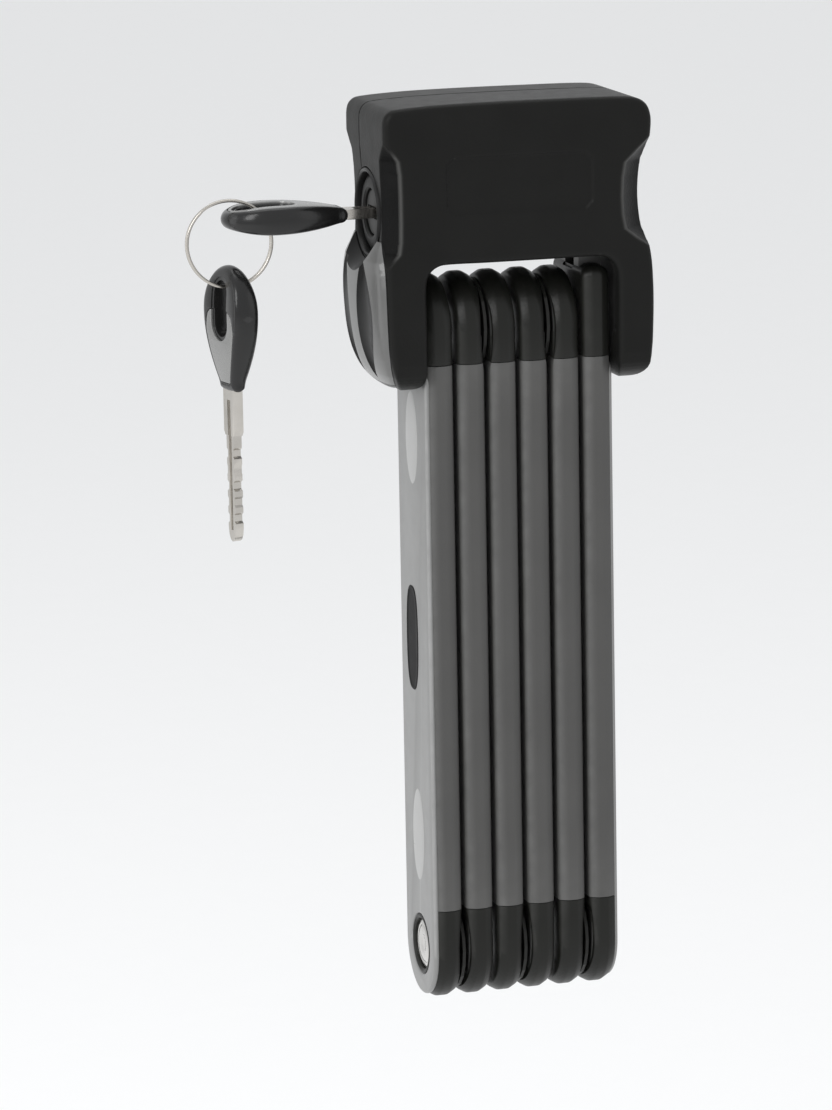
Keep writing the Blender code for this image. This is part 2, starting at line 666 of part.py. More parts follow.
def coil():
    """An open coil standing on the yoke."""
    low = YOKE_TOP + COIL_WIRE + COIL_GAP
    high = SPRING_ROOF - COIL_WIRE - COIL_GAP
    curve = bpy.data.curves.new("coil", "CURVE")
    curve.dimensions = "3D"
    curve.bevel_depth = COIL_WIRE * MM
    curve.bevel_resolution = 2
    curve.use_fill_caps = True
    steps = COIL_TURNS * COIL_STEPS
    spline = curve.splines.new("POLY")
    spline.points.add(steps)
    for k, point in enumerate(spline.points):
        angle = math.tau * k / COIL_STEPS
        x = BOLT_X + COIL_R * math.cos(angle)
        y = COIL_Y + COIL_R * math.sin(angle)
        z = low + (high - low) * k / steps
        point.co = (x * MM, y * MM, z * MM, 1)
    return bake(new_solid("coil", curve))


part("bolt_spring", coil(), SPRING, HEAD)

grub = rod(1.9, 186.6, 190.2, GRUB_XY, axis="Z", name="grub")
grub = cut(grub, rod(0.9, 188.6, 192, GRUB_XY, axis="Z", sides=6, name="socket"))
part("barrel_grub_screw", grub, RIVET, HEAD)

# ---------------------------------------------------------------- keys
# A key is built about its shoulder: blade towards +X, bow towards -X, flat in XY.
# (x, y) along the +Y edge of the bow; the other edge mirrors it
BOW_EDGE = [
    (0, 3.2), (-2.2, 4.2), (-6, 5.9), (-11, 7.6), (-16, 8.4),
    (-20.5, 8.2), (-24, 6.6), (-26.4, 4.0), (-KEY_BOW_L, 1.2),
]
LABEL_ROOM = [(-2.2, 2.4), (-10.6, 3.6), (-10.6, -3.6), (-2.2, -2.4)]   # (x, y)
LABEL = [(-2.5, 2.1), (-10.3, 3.3), (-10.3, -3.3), (-2.5, -2.1)]        # (x, y)
SLOT_R, SLOT_REACH = 2.9, 15.6     # the slot's far end, counted from the end of the bow
BLADE_Y = 1.75                     # half width of the blade
BLADE_TIP = [
    (9, -BLADE_Y), (31.0, -BLADE_Y), (33.4, -0.9), (34.2, 0), (33.4, 0.9), (31.0, BLADE_Y),
    (9, BLADE_Y),
]
BITTING = (0.55, 0.25, 0.7, 0.4, 0.6)   # depths of the cuts, shoulder to tip
BITTING_X, BITTING_PITCH = 13.4, 3.6


def key_bow():
    half_t = KEY_BOW_T / 2
    outline = BOW_EDGE + [(x, -y) for x, y in reversed(BOW_EDGE)]
    slot = (
        arc(-KEY_BOW_L + KEY_END + SLOT_R, 0, SLOT_R, 90, 270, 8)
        + arc(-KEY_BOW_L + SLOT_REACH - SLOT_R, 0, SLOT_R, -90, 90, 8)
    )
    return cut(
        slab(outline, *span(half_t), TO_Z, bevel=1.9, name="bow"),
        slab(slot, -5, 5, TO_Z, name="ring_slot"),
        slab(LABEL_ROOM, half_t - 0.5, 6, TO_Z, name="label_room"),
        slab(LABEL_ROOM, -6, -half_t + 0.5, TO_Z, name="label_room"),
        box((-8.2, 2), span(2.65), span(1.3), name="shank_room"),
    )


def key_blade():
    collar = box((-8.0, 10.5), span(2.5), span(1.15), bevel=0.35, name="collar")
    blade = join(collar, slab(BLADE_TIP, *span(0.95), TO_Z, name="tip"))
    cuts = []
    for k, depth in enumerate(BITTING):
        x = BITTING_X + BITTING_PITCH * k
        cuts.append(box((x, x + 1.9), (BLADE_Y - depth, 3), (-2, 2)))
        cuts.append(box((x + 0.2, x + 2.1), (-3, -BLADE_Y + depth), (-2.1, 2.1)))
    return cut(blade, *cuts)


def key_label():
    return slab(LABEL, KEY_BOW_T / 2 - 0.42, KEY_BOW_T / 2 - 0.04, TO_Z, name="label")


KEY1_AT = Matrix.Translation(Vector((KEY_SHOULDER_X, 0, CYL_Z)) * MM)
# The second key hangs from the ring: before the twist its own -X points up and its +Z along -X.
KEY2_RISE = RING_R - math.sqrt(RING_IN**2 - (KEY_BOW_T / 2) ** 2) + RING_GAP
KEY2_SHOULDER_Z = KEY2_HANG.z + KEY2_RISE + KEY_END - KEY_BOW_L
KEY2_AT = (
    Matrix.Translation(Vector((KEY2_HANG.x, 0, KEY2_SHOULDER_Z)) * MM)
    @ Matrix.Rotation(math.radians(KEY2_TWIST), 4, "Z")
    @ Matrix(((0, 0, -1), (0, -1, 0), (-1, 0, 0))).to_4x4()
)
KEY_PIECES = (
    ("bow", key_bow, JACKET),
    ("blade", key_blade, KEYSTEEL),
    ("label", key_label, SILVER),
)
for key, at, on in (("key_1", KEY1_AT, KEY1), ("key_2", KEY2_AT, KEY2)):
    for kind, build, mat in KEY_PIECES:
        piece = build()
        piece.data.transform(at)
        part(f"{key}_{kind}", piece, mat, on)

bpy.ops.mesh.primitive_torus_add(
    major_radius=RING_R * MM, minor_radius=RING_WIRE * MM, major_segments=32, minor_segments=6
)
ring = take_primitive("ring")
ring.data.transform(Matrix.Translation(RING_C * MM) @ Matrix.Rotation(math.pi / 2, 4, "X"))
part("key_ring", ring, KEYSTEEL, RING)

HEAD.location.z = -HEAD_TOP * MM   # everything hangs from the head, so this sets the origin
bpy.data.collections.remove(workshop)
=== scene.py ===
"""Looks of the folding bike lock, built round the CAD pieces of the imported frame.

Six bars stand side by side along X, thin in X and wide in Y, under a lock head that covers
their top ends. The front faces -Y and the keyhole is in the head's -X side. Sizes are in
millimetres, and heights are counted from the foot of the bars.
"""

import math

import bmesh
import bpy
import numpy as np
from mathutils import Matrix, Vector

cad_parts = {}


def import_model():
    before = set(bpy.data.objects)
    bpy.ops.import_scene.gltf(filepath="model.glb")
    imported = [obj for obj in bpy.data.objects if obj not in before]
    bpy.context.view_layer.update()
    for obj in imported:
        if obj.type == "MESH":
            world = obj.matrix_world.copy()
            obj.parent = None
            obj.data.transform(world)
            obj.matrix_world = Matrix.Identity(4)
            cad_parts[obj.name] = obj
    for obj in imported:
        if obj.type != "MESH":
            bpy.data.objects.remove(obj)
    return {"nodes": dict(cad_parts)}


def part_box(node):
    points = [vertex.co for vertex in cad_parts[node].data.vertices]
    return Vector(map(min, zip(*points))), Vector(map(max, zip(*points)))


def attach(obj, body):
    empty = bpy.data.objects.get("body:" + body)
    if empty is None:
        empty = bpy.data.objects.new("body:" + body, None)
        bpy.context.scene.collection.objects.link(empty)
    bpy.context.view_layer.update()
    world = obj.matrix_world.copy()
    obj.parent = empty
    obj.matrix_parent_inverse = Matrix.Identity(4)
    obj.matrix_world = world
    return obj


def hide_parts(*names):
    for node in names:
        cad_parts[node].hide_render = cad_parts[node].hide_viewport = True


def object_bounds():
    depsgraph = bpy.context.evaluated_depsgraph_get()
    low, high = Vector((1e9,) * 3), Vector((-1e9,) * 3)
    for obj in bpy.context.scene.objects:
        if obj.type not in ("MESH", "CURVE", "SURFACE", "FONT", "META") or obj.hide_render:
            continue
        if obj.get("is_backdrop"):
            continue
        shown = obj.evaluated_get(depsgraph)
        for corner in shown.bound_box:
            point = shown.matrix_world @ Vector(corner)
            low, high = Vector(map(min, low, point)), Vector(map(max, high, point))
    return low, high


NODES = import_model()["nodes"]
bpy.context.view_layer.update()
MM = 0.001
HEAD_TOP = 202.6       # the frame's own zero height is the top of the head
COLLECTION = bpy.context.scene.collection

# ---------------------------------------------------------------- sizes read from the frame


def box_of(node):
    """Low and high corner of a CAD piece, in mm from the frame's zero."""
    lo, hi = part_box(node)
    return [c / MM for c in lo], [c / MM for c in hi]


def centre_of(node):
    return [(a + b) / 2 for a, b in zip(*box_of(node))]


BAR_X = [centre_of(f"bar_{number}_plate")[0] for number in range(1, 7)]
jacket_lo, jacket_hi = box_of("bar_2_jacket")
BAR_HALF_T = (jacket_hi[0] - jacket_lo[0] - 0.2) / 2
BAR_R = (jacket_hi[1] - jacket_lo[1]) / 2
LOW = jacket_lo[2] + HEAD_TOP + BAR_R      # height of the low rivets
HIGH = jacket_hi[2] + HEAD_TOP - BAR_R     # height of the high rivets
GRIP_LO, GRIP_HI = (corner[2] + HEAD_TOP for corner in box_of("bar_2_grip"))
KEYHOLE_Z = 178.0

# ---------------------------------------------------------------- materials


def feed(tree, node, values):
    """Sets a node's inputs; a value that is a socket is linked."""
    for key, value in values.items():
        if isinstance(value, bpy.types.NodeSocket):
            tree.links.new(value, node.inputs[key])
        else:
            node.inputs[key].default_value = value


def add_node(tree, kind, inputs=(), **settings):
    """Adds a shader node and returns its outputs."""
    node = tree.nodes.new("ShaderNode" + kind)
    for key, value in settings.items():
        setattr(node, key, value)
    feed(tree, node, dict(inputs))
    return node.outputs


def surface(name, rgb, rough, metal=0.0, spec=0.5, coat=0.0, mottling=0.10, rough_vary=0.06,
            grain=0.0, grain_size=None, wear=0.0, wear_rgb=None, brushed=None, scuffs=0.0):
    """A moulded, painted or turned surface.

    mottling and rough_vary are how far colour and roughness stray, wear lightens raised
    edges to wear_rgb, and grain (cells of grain_size metres) and scuffs are bump strengths.
    brushed is the scale of the brushing noise along X, Y and Z.
    """
    material = bpy.data.materials.new(name)
    material.use_nodes = True
    tree = material.node_tree
    shader = tree.nodes["Principled BSDF"]
    coords = add_node(tree, "TexCoord")["Object"]

    # slow colour variation
    slow = add_node(tree, "TexNoise", {"Scale": 70.0, "Detail": 4.0, "Vector": coords})["Fac"]
    level = add_node(tree, "MapRange", {
        "From Min": 0.3, "From Max": 0.7,
        "To Min": 1 - mottling, "To Max": 1 + mottling, "Value": slow})["Result"]
    colour = add_node(tree, "Mix", {"Factor": 1.0, "A": (*rgb, 1), "B": level},
                      data_type="RGBA", blend_type="MULTIPLY")["Result"]

    # fine roughness variation
    roughness = tree.nodes.new("ShaderNodeMapRange")
    fine = add_node(tree, "TexNoise", {"Scale": 260.0, "Detail": 5.0, "Vector": coords})["Fac"]
    feed(tree, roughness, {
        "To Min": rough - rough_vary, "To Max": rough + rough_vary, "Value": fine})

    if wear:
        pointiness = add_node(tree, "NewGeometry")["Pointiness"]
        edge = add_node(tree, "MapRange", {
            "From Min": 0.53, "From Max": 0.62, "Value": pointiness})["Result"]
        patch = add_node(tree, "Math", {1: wear, 0: edge}, operation="MULTIPLY")["Value"]
        spots = add_node(tree, "Math", {0: patch, 1: fine}, operation="MULTIPLY")["Value"]
        colour = add_node(tree, "Mix", {"B": (*wear_rgb, 1), "Factor": spots, "A": colour},
                          data_type="RGBA")["Result"]

    normal = {}        # the bumps are chained through this input

    def bump(height, strength, distance):
        normal["Normal"] = add_node(tree, "Bump", {
            "Strength": strength, "Distance": distance, "Height": height,
            **normal})["Normal"]

    def streaks(mapping, detail, strength):
        vector = add_node(tree, "Mapping", {**mapping, "Vector": coords})["Vector"]
        noise = add_node(tree, "TexNoise", {"Scale": 1.0, "Detail": detail, "Vector": vector})
        bump(noise["Fac"], strength, distance=0.00005)

    if grain:
        cells = add_node(tree, "TexVoronoi", {"Scale": 1 / grain_size, "Vector": coords})
        bump(cells["Distance"], grain, distance=0.00008)
    if brushed:
        streaks({"Scale": brushed}, detail=6.0, strength=0.25)
    if scuffs:
        streaks({"Rotation": (0.2, 0.5, 0.3), "Scale": (60, 60, 900)},
                detail=3.0, strength=scuffs)

    feed(tree, shader, {
        "Metallic": metal, "Specular IOR Level": spec, "Coat Weight": coat,
        "Coat Roughness": 0.12, "Roughness": roughness.outputs["Result"],
        "Base Color": colour, **normal})
    material.diffuse_color = (*rgb, 1)
    return material


def shade_by(material, attribute, rgb):
    """Mixes a second colour in where a mesh's own attribute says so."""
    tree = material.node_tree
    shader = tree.nodes["Principled BSDF"]
    amount = add_node(tree, "Attribute", attribute_name=attribute)["Fac"]
    base = shader.inputs["Base Color"].links[0].from_socket
    mixed = add_node(tree, "Mix", {"B": (*rgb, 1), "A": base, "Factor": amount},
                     data_type="RGBA")
    feed(tree, shader, {"Base Color": mixed["Result"]})


FINE_BRUSH = (900, 900, 900)       # even fine brushing
CROSS_BRUSH = (40, 900, 900)       # brushing drawn out along X

HEAD_BLACK = surface(
    "head_black", rgb=(0.0095, 0.0095, 0.0090), rough=0.42, spec=0.11, scuffs=0.08,
    grain=0.35, grain_size=0.00055, wear=0.35, wear_rgb=(0.045, 0.045, 0.045))
# the plain look of the "cheek_gloss" slot: the cheek's own pieces wear CHEEK_DARK and PAINTED_SHEEN_GREY
surface("cheek_gloss", rgb=(0.020, 0.020, 0.020), rough=0.20, coat=0.3, scuffs=0.06,
        wear=0.3, wear_rgb=(0.12, 0.12, 0.12))
# painted sheen: this grey stands in for light reflected off the black plastic of the cheek's
# spine and outer facets
PAINTED_SHEEN_GREY = surface(
    "cheek_painted_sheen", rgb=(0.112, 0.112, 0.110), rough=0.30, coat=0.15, scuffs=0.08,
    wear=0.3, wear_rgb=(0.35, 0.35, 0.35))
END_BLACK = surface(
    "end_black", rgb=(0.0090, 0.0092, 0.0078), rough=0.38, spec=0.24,
    grain=0.3, grain_size=0.0005, wear=0.35, wear_rgb=(0.07, 0.07, 0.065))
GRIP_GREY = surface(
    "grip_grey", rgb=(0.066, 0.065, 0.063), rough=0.46, spec=0.4, mottling=0.06,
    grain=0.30, grain_size=0.00035, wear=0.5, wear_rgb=(0.19, 0.19, 0.185),
    brushed=(900, 900, 12))
SILVER = surface(
    "trim_silver", rgb=(0.228, 0.228, 0.225), rough=0.34, metal=0.25, mottling=0.05,
    grain=0.12, grain_size=0.0003, wear=0.3, wear_rgb=(0.6, 0.6, 0.6), scuffs=0.10)
SILVER_PAD = surface(
    "trim_pad", rgb=(0.365, 0.365, 0.360), rough=0.30, metal=0.2, mottling=0.04, scuffs=0.08)
BADGE_BLACK = surface(
    "badge_black", rgb=(0.0085, 0.0085, 0.0085), rough=0.58, spec=0.12,
    grain=0.25, grain_size=0.0004, wear=0.3, wear_rgb=(0.05, 0.05, 0.05))
CHEEK_DARK = surface(
    "cheek_dark", rgb=(0.0085, 0.0085, 0.0085), rough=0.34, spec=0.20, scuffs=0.05,
    wear=0.2, wear_rgb=(0.05, 0.05, 0.05))
# painted shade: the steel cylinder core is made near black to stand in for the shade over the
# keyhole
CORE_PAINTED_SHADE = surface(
    "core_painted_shade", rgb=(0.016, 0.016, 0.0155), rough=0.42, metal=0.15, spec=0.22,
    brushed=FINE_BRUSH, wear=0.5, wear_rgb=(0.20, 0.195, 0.19))
STEEL = surface(
    "hardened_steel", rgb=(0.42, 0.42, 0.41), rough=0.32, metal=1.0,
    brushed=CROSS_BRUSH, wear=0.2, wear_rgb=(0.6, 0.6, 0.6))
FRAME_STEEL = surface(
    "frame_steel", rgb=(0.09, 0.09, 0.088), rough=0.45, metal=0.9, brushed=CROSS_BRUSH)
RIVET_STEEL = surface(
    "rivet_steel", rgb=(0.60, 0.59, 0.57), rough=0.20, metal=1.0, rough_vary=0.05,
    brushed=FINE_BRUSH, scuffs=0.15)
BRASS = surface(
    "disc_brass", rgb=(0.60, 0.45, 0.20), rough=0.30, metal=1.0, brushed=(20, 800, 800))
NICKEL = surface(
    "key_nickel", rgb=(0.47, 0.445, 0.41), rough=0.24, metal=0.95, scuffs=0.2,
    brushed=(15, 800, 800), wear=0.4, wear_rgb=(0.8, 0.78, 0.74))
INLAY_SILVER = surface(
    "key_silver", rgb=(0.27, 0.27, 0.265), rough=0.27, metal=0.6, mottling=0.06,
    brushed=(20, 900, 900), scuffs=0.15)
KEY_BLACK = surface(
    "key_black", rgb=(0.010, 0.010, 0.010), rough=0.24, spec=0.36, coat=0.1,
    grain=0.12, grain_size=0.0005, wear=0.4, wear_rgb=(0.08, 0.08, 0.08))
# painted shade: the steel cylinder sleeve is made near black to stand in for the shade over the
# keyhole
BARREL_PAINTED_SHADE = surface(
    "barrel_painted_shade", rgb=(0.010, 0.010, 0.0098), rough=0.45, metal=0.1, spec=0.18,
    brushed=FINE_BRUSH, wear=0.4, wear_rgb=(0.12, 0.12, 0.115))
SPRING_STEEL = surface(
    "spring_steel", rgb=(0.5, 0.5, 0.5), rough=0.25, metal=1.0, brushed=FINE_BRUSH)

# painted shade: the head's corner hollows are darkened
shade_by(HEAD_BLACK, "hollow", rgb=(0.0022, 0.0022, 0.0022))
# painted highlight: a bright line along the edge of each hollow
shade_by(HEAD_BLACK, "painted_edge_highlight", rgb=(0.060, 0.060, 0.058))

# ---------------------------------------------------------------- mesh helpers
# The solid builders default to a cutter: named "tool", with a stand-in material.


def at(x, y, z):
    return Vector((x * MM, y * MM, (z - HEAD_TOP) * MM))


def object_from(bm, name, materials):
    bmesh.ops.recalc_face_normals(bm, faces=bm.faces)
    mesh = bpy.data.meshes.new(name)
    bm.to_mesh(mesh)
    bm.free()
    piece = bpy.data.objects.new(name, mesh)
    COLLECTION.objects.link(piece)
    for material in materials:
        mesh.materials.append(material)
    return piece


def smooth(piece, angle=35):
    piece.data.shade_smooth()
    piece.data.set_sharp_from_angle(angle=math.radians(angle))
    return piece


def applied(piece):
    """Bakes the modifiers into the mesh."""
    bpy.context.view_layer.update()
    graph = bpy.context.evaluated_depsgraph_get()
    mesh = bpy.data.meshes.new_from_object(piece.evaluated_get(graph))
    piece.modifiers.clear()
    old = piece.data
    piece.data = mesh
    mesh.name = piece.name
    bpy.data.meshes.remove(old)
    return piece


def boolean(piece, tool, operation="DIFFERENCE"):
    modifier = piece.modifiers.new("b", "BOOLEAN")
    modifier.operation = operation
    modifier.solver = "EXACT"
    modifier.object = tool
    applied(piece)
    bpy.data.objects.remove(tool, do_unlink=True)
    return piece


def bevelled(piece, width, segments, angle):
    modifier = piece.modifiers.new("bv", "BEVEL")
    modifier.width = width * MM
    modifier.segments = segments
    modifier.limit_method = "ANGLE"
    modifier.angle_limit = math.radians(angle)
    modifier.use_clamp_overlap = True
    return applied(piece)


def loft(rings, name="tool", material=END_BLACK):
    """Closed skin over a list of equal-length rings of points, capped at both ends."""
    bm = bmesh.new()
    rows = [[bm.verts.new(p) for p in ring] for ring in rings]
    count = len(rows[0])
    for a, b in zip(rows, rows[1:]):
        for i in range(count):
            j = (i + 1) % count
            bm.faces.new((a[i], a[j], b[j], b[i]))
    bm.faces.new(list(reversed(rows[0])))
    bm.faces.new(rows[-1])
    return object_from(bm, name, [material])


def turned(profile, centre, name="tool", material=END_BLACK, seg=64, axis="X"):
    """Profile of (along, radius) turned about X through (y, z), or about Y through (x, z).

    A profile that ends off the axis makes a ring with a hole.
    """
    bm = bmesh.new()
    rings = []
    for along, radius in profile:
        ring = []
        for k in range(seg if radius > 0 else 1):
            u = centre[0] + radius * math.cos(math.tau * k / seg)
            z = centre[1] + radius * math.sin(math.tau * k / seg)
            ring.append(bm.verts.new(at(along, u, z) if axis == "X" else at(u, along, z)))
        rings.append(ring)
    pairs = list(zip(rings, rings[1:]))
    if len(rings[0]) > 1 and len(rings[-1]) > 1:
        pairs.append((rings[-1], rings[0]))
    for a, b in pairs:
        for k in range(seg):
            j = (k + 1) % seg
            corners = (a[k % len(a)], a[j % len(a)], b[j % len(b)], b[k % len(b)])
            bm.faces.new(tuple(dict.fromkeys(corners)))     # a pole gives a triangle
    return smooth(object_from(bm, name, [material]))


def drum(lo, hi, radius, centre, seg=64, axis="X"):
    """Plain cylindrical cutter from lo to hi along its axis."""
    return turned([(lo, 0), (lo, radius), (hi, radius), (hi, 0)], centre, seg=seg, axis=axis)


def prism(outline, plane, lo, hi, name="tool", material=END_BLACK):
    """Outline in the 'xz' or 'yz' plane, given thickness lo..hi along the other axis."""
    if plane == "xz":
        rings = [[at(x, y, z) for x, z in outline] for y in (lo, hi)]
    else:
        rings = [[at(x, y, z) for y, z in outline] for x in (lo, hi)]
    return loft(rings, name, material)


def rect(a0, a1, b0, b1):
    return [(a0, b0), (a1, b0), (a1, b1), (a0, b1)]


def arc(cx, cy, r, a0, a1, n):
    angles = [math.radians(a0 + (a1 - a0) * k / n) for k in range(n + 1)]
    return [(cx + r * math.cos(a), cy + r * math.sin(a)) for a in angles]


def spline(points, steps=4):
    """Closed Catmull-Rom curve through the points."""
    out, n = [], len(points)
    for i in range(n):
        p0, p1, p2, p3 = (np.array(points[(i + d) % n], float) for d in (-1, 0, 1, 2))
        m1 = (p2 - p0) / 2
        m2 = (p3 - p1) / 2
        for k in range(steps):
            t = k / steps
            p = ((2 * t**3 - 3 * t**2 + 1) * p1 + (t**3 - 2 * t**2 + t) * m1
                 + (-2 * t**3 + 3 * t**2) * p2 + (t**3 - t**2) * m2)
            out.append((float(p[0]), float(p[1])))
    return out


def interpolated(value, pairs):
    """Linear reading of (place, amount) pairs sorted by place."""
    places, amounts = zip(*pairs)
    return float(np.interp(value, places, amounts))


def register(piece, body, slot, *replaced):
    """Tells the frame what the piece rides on and the CAD pieces it replaces; slot is not used.
    """
    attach(piece, body)
    if replaced:
        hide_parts(*replaced)


# ---------------------------------------------------------------- bars
BAR_6_LENGTH = 153.0           # from the low rivet to the square top of the last bar
BAR_6_CORNER = 2.6
SIDE_HEIGHTS = (40, 90, 130)   # outline points up each long side
RIVET_POCKET_R, RIVET_POCKET_DEPTH = 6.9, 0.62
LENS_HALF, LENS_DEPTH = 9.6, 0.85
SEAM = 0.15                    # gap between the grip and each end
WEB_HALF_WIDTH, WEB_OVERLAP, WEB_INSET = 10.5, 6, 0.45

# (place across the thickness, inset of the outline): small round, slanted shoulder, flat
SECTION = [(-BAR_HALF_T, 1.85), (-BAR_HALF_T + 0.06, 1.45), (-BAR_HALF_T + 0.20, 1.12),
           (-BAR_HALF_T + 0.44, 0.88), (-BAR_HALF_T + 0.62, 0.76),
           (-1.25, 0.09), (-0.95, 0.015), (-0.7, 0.0)]
SECTION += [(-t, inset) for t, inset in reversed(SECTION)]


def square_crown(half, top, corner, inset=0.0):
    """Top of an outline with two rounded corners, from +Y round to -Y."""
    return (arc(half - corner, top - corner, corner - inset, 0, 90, 6)
            + arc(-half + corner, top - corner, corner - inset, 90, 180, 6))


def bar_outline(square, inset):
    r = BAR_R - inset
    if square:
        crown = square_crown(BAR_R, LOW + BAR_6_LENGTH, BAR_6_CORNER, inset)
    else:
        crown = arc(0, HIGH, r, 0, 180, 26)
    return (arc(0, LOW, r, 180, 360, 26) + [(r, z) for z in SIDE_HEIGHTS] + crown
            + [(-r, z) for z in reversed(SIDE_HEIGHTS)])


def cut_between(piece, z0, z1, name, material):
    """The part of a piece between two heights, closed, as a new object."""
    bm = bmesh.new()
    bm.from_mesh(piece.data)
    for z, sign in ((z0, -1), (z1, 1)):
        if z is None:
            continue
        bmesh.ops.bisect_plane(bm, geom=bm.verts[:] + bm.edges[:] + bm.faces[:],
                               plane_co=at(0, 0, z), plane_no=(0, 0, sign),
                               clear_outer=True, dist=1e-7)
        rim = [edge for edge in bm.edges if edge.is_boundary]
        bmesh.ops.holes_fill(bm, edges=rim, sides=0)
    return object_from(bm, name, [material])


def lens_cut(piece, x_face, side, z):
    """Hollows the face at a rivet with a shallow cylinder laid across the bar."""
    r = (LENS_HALF**2 + LENS_DEPTH**2) / (2 * LENS_DEPTH)
    boolean(piece, drum(-30, 30, r, (x_face + side * (r - LENS_DEPTH), z), seg=220, axis="Y"))


def build_bar(number):
    x = BAR_X[number - 1]
    square = number == 6
    bar = f"bar_{number}"
    full = loft([[at(x + t, y, z) for y, z in bar_outline(square, inset)]
                 for t, inset in SECTION], "full")

    # faces that meet at a rivet curve away; odd bars meet the next bar (+X) at the low rivet
    low_side = 1 if number % 2 else -1
    lens_cut(full, x + low_side * BAR_HALF_T, low_side, LOW)
    if 1 < number < 6:
        lens_cut(full, x - low_side * BAR_HALF_T, -low_side, HIGH)

    grip = cut_between(full, GRIP_LO, GRIP_HI, f"{bar}_sleeve", GRIP_GREY)
    low = cut_between(full, None, GRIP_LO - SEAM, f"{bar}_low_end", END_BLACK)
    top = cut_between(full, GRIP_HI + SEAM, None, f"{bar}_top_end", END_BLACK)
    bpy.data.objects.remove(full, do_unlink=True)

    riveted_ends = [(low, LOW)]
    if square:         # room for the bolt's nose
        boolean(top, prism(rect(-3.5, 3.5, 163.4, 170), "yz", x - 5, x + 5))
    else:
        riveted_ends.append((top, HIGH))
    for end, z in riveted_ends:
        for side in (-1, 1):
            x_face = x + side * BAR_HALF_T
            span = sorted((x_face - side * RIVET_POCKET_DEPTH, x_face + side * 2))
            boolean(end, drum(*span, RIVET_POCKET_R, (0, z)))
        bevelled(end, 0.18, segments=2, angle=50)

    web_outline = rect(-WEB_HALF_WIDTH, WEB_HALF_WIDTH,
                       GRIP_LO - WEB_OVERLAP, GRIP_HI + WEB_OVERLAP)
    web = prism(web_outline, "yz", x - BAR_HALF_T + WEB_INSET, x + BAR_HALF_T - WEB_INSET,
                f"{bar}_web")
    for piece in (grip, low, top, web):
        smooth(piece, 30)
    register(low, bar, "end_black", f"{bar}_jacket")
    register(top, bar, "end_black")
    register(web, bar, "end_black")
    register(grip, bar, "grip_grey", f"{bar}_grip")


for number in range(1, 7):
    build_bar(number)

# ---------------------------------------------------------------- rivets
# one head: (depth below its highest ring, radius), from the middle outwards
RIVET_HEAD = [(0.30, 0), (0.29, 0.9), (0.22, 1.5), (0.06, 2.1), (0, 2.6), (0, 3.3),
              (0.05, 3.8), (0.16, 4.05), (0.26, 4.2), (0.26, 4.4), (0.15, 4.6), (0.20, 5.0),
              (0.325, 5.33), (0.5, 5.4), (0.5, 4.0)]

for number in (2, 3, 4, 5, 6, 1):
    lo, hi = box_of(f"rivet_{number}")
    profile = [(lo[0] + depth, r) for depth, r in RIVET_HEAD]
    profile += [(hi[0] - depth, r) for depth, r in reversed(RIVET_HEAD)]
    rivet = turned(profile, (0, HIGH if number % 2 else LOW), f"rivet_{number}_head",
                   RIVET_STEEL, seg=72)
    register(rivet, f"bar_{number - 1}" if number > 1 else "head", "rivet_steel",
             f"rivet_{number}")

# ---------------------------------------------------------------- silver side plates, badge
PLATE_TOP, PLATE_CORNER, PLATE_T, WINDOW_R = 144.0, 3.2, 1.2, 6.75
# ring inside the window: (depth below the plate's face, radius)
COLLAR = [(0.12, 6.72), (0.02, 6.55), (0.02, 6.2), (0.35, 5.75), (0.9, 5.7), (0.9, 6.72)]
# raised ovals: (middle height, half width in Y, half height)
PADS = [(127.5, 4.6, 10.5), (37.3, 4.4, 10.6)]
# pad and badge domes: (share of full size, rise)
PAD_DOME = [(1.0, -0.35), (1.0, 0.0), (0.965, 0.10), (0.90, 0.17), (0.75, 0.22), (0.5, 0.25),
            (0.2, 0.26)]
PAD_SINK = 0.05
BADGE_DOME = [(1.0, -0.4), (1.0, 0.04), (0.975, 0.12), (0.93, 0.15), (0.86, 0.15),
              (0.83, 0.07), (0.6, 0.07), (0.3, 0.07)]


def circle(n):
    """Cosine and sine at n even steps round a turn."""
    return [(math.cos(math.tau * k / n), math.sin(math.tau * k / n)) for k in range(n)]


def side_plate(name, x_out, side, body, node, r):
    """Side plate of half width r with a round window over the rivet, its collar and pads."""
    outline = (arc(0, LOW, r, 180, 360, 40) + [(r, z) for z in (40, 90)]
               + square_crown(r, PLATE_TOP, PLATE_CORNER) + [(-r, z) for z in (90, 40)])
    plate = prism(outline, "yz", *sorted((x_out, x_out - side * PLATE_T)), name, SILVER)
    boolean(plate, drum(*sorted((x_out + side * 2, x_out - side * 3)), WINDOW_R, (0, LOW),
                        seg=72))
    bevelled(plate, 0.55, segments=3, angle=40)
    register(smooth(plate, 38), body, "trim_silver", node)

    collar = turned([(x_out - side * depth, radius) for depth, radius in COLLAR], (0, LOW),
                    name + "_collar", END_BLACK, seg=72)
    register(collar, body, "end_black")

    for k, (middle, half_y, half_z) in enumerate(PADS):
        rings = [[at(x_out + side * (rise - PAD_SINK), half_y * share * c,
                     middle + half_z * share * s) for c, s in circle(56)]
                 for share, rise in PAD_DOME]
        pad = loft(rings, f"{name}_pad_{k + 1}", SILVER_PAD)
        register(smooth(pad, 50), body, "trim_silver")


def side_badge(x_out):
    """Long rounded lozenge with a raised rim."""
    lo, hi = box_of("bar_1_badge")
    _, y, z = centre_of("bar_1_badge")
    z += HEAD_TOP
    half_y = (hi[1] - lo[1]) / 2
    half_z = (hi[2] - lo[2]) / 2
    rings = [[at(x_out - rise, y + half_y * share * math.copysign(abs(c) ** 0.7, c),
                 z + (half_z - (1 - share) * half_y) * math.copysign(abs(s) ** 0.8, s))
              for c, s in circle(64)] for share, rise in BADGE_DOME]
    badge = loft(rings, "side_badge", BADGE_BLACK)
    register(smooth(badge, 40), "bar_1", "end_black", "bar_1_badge")


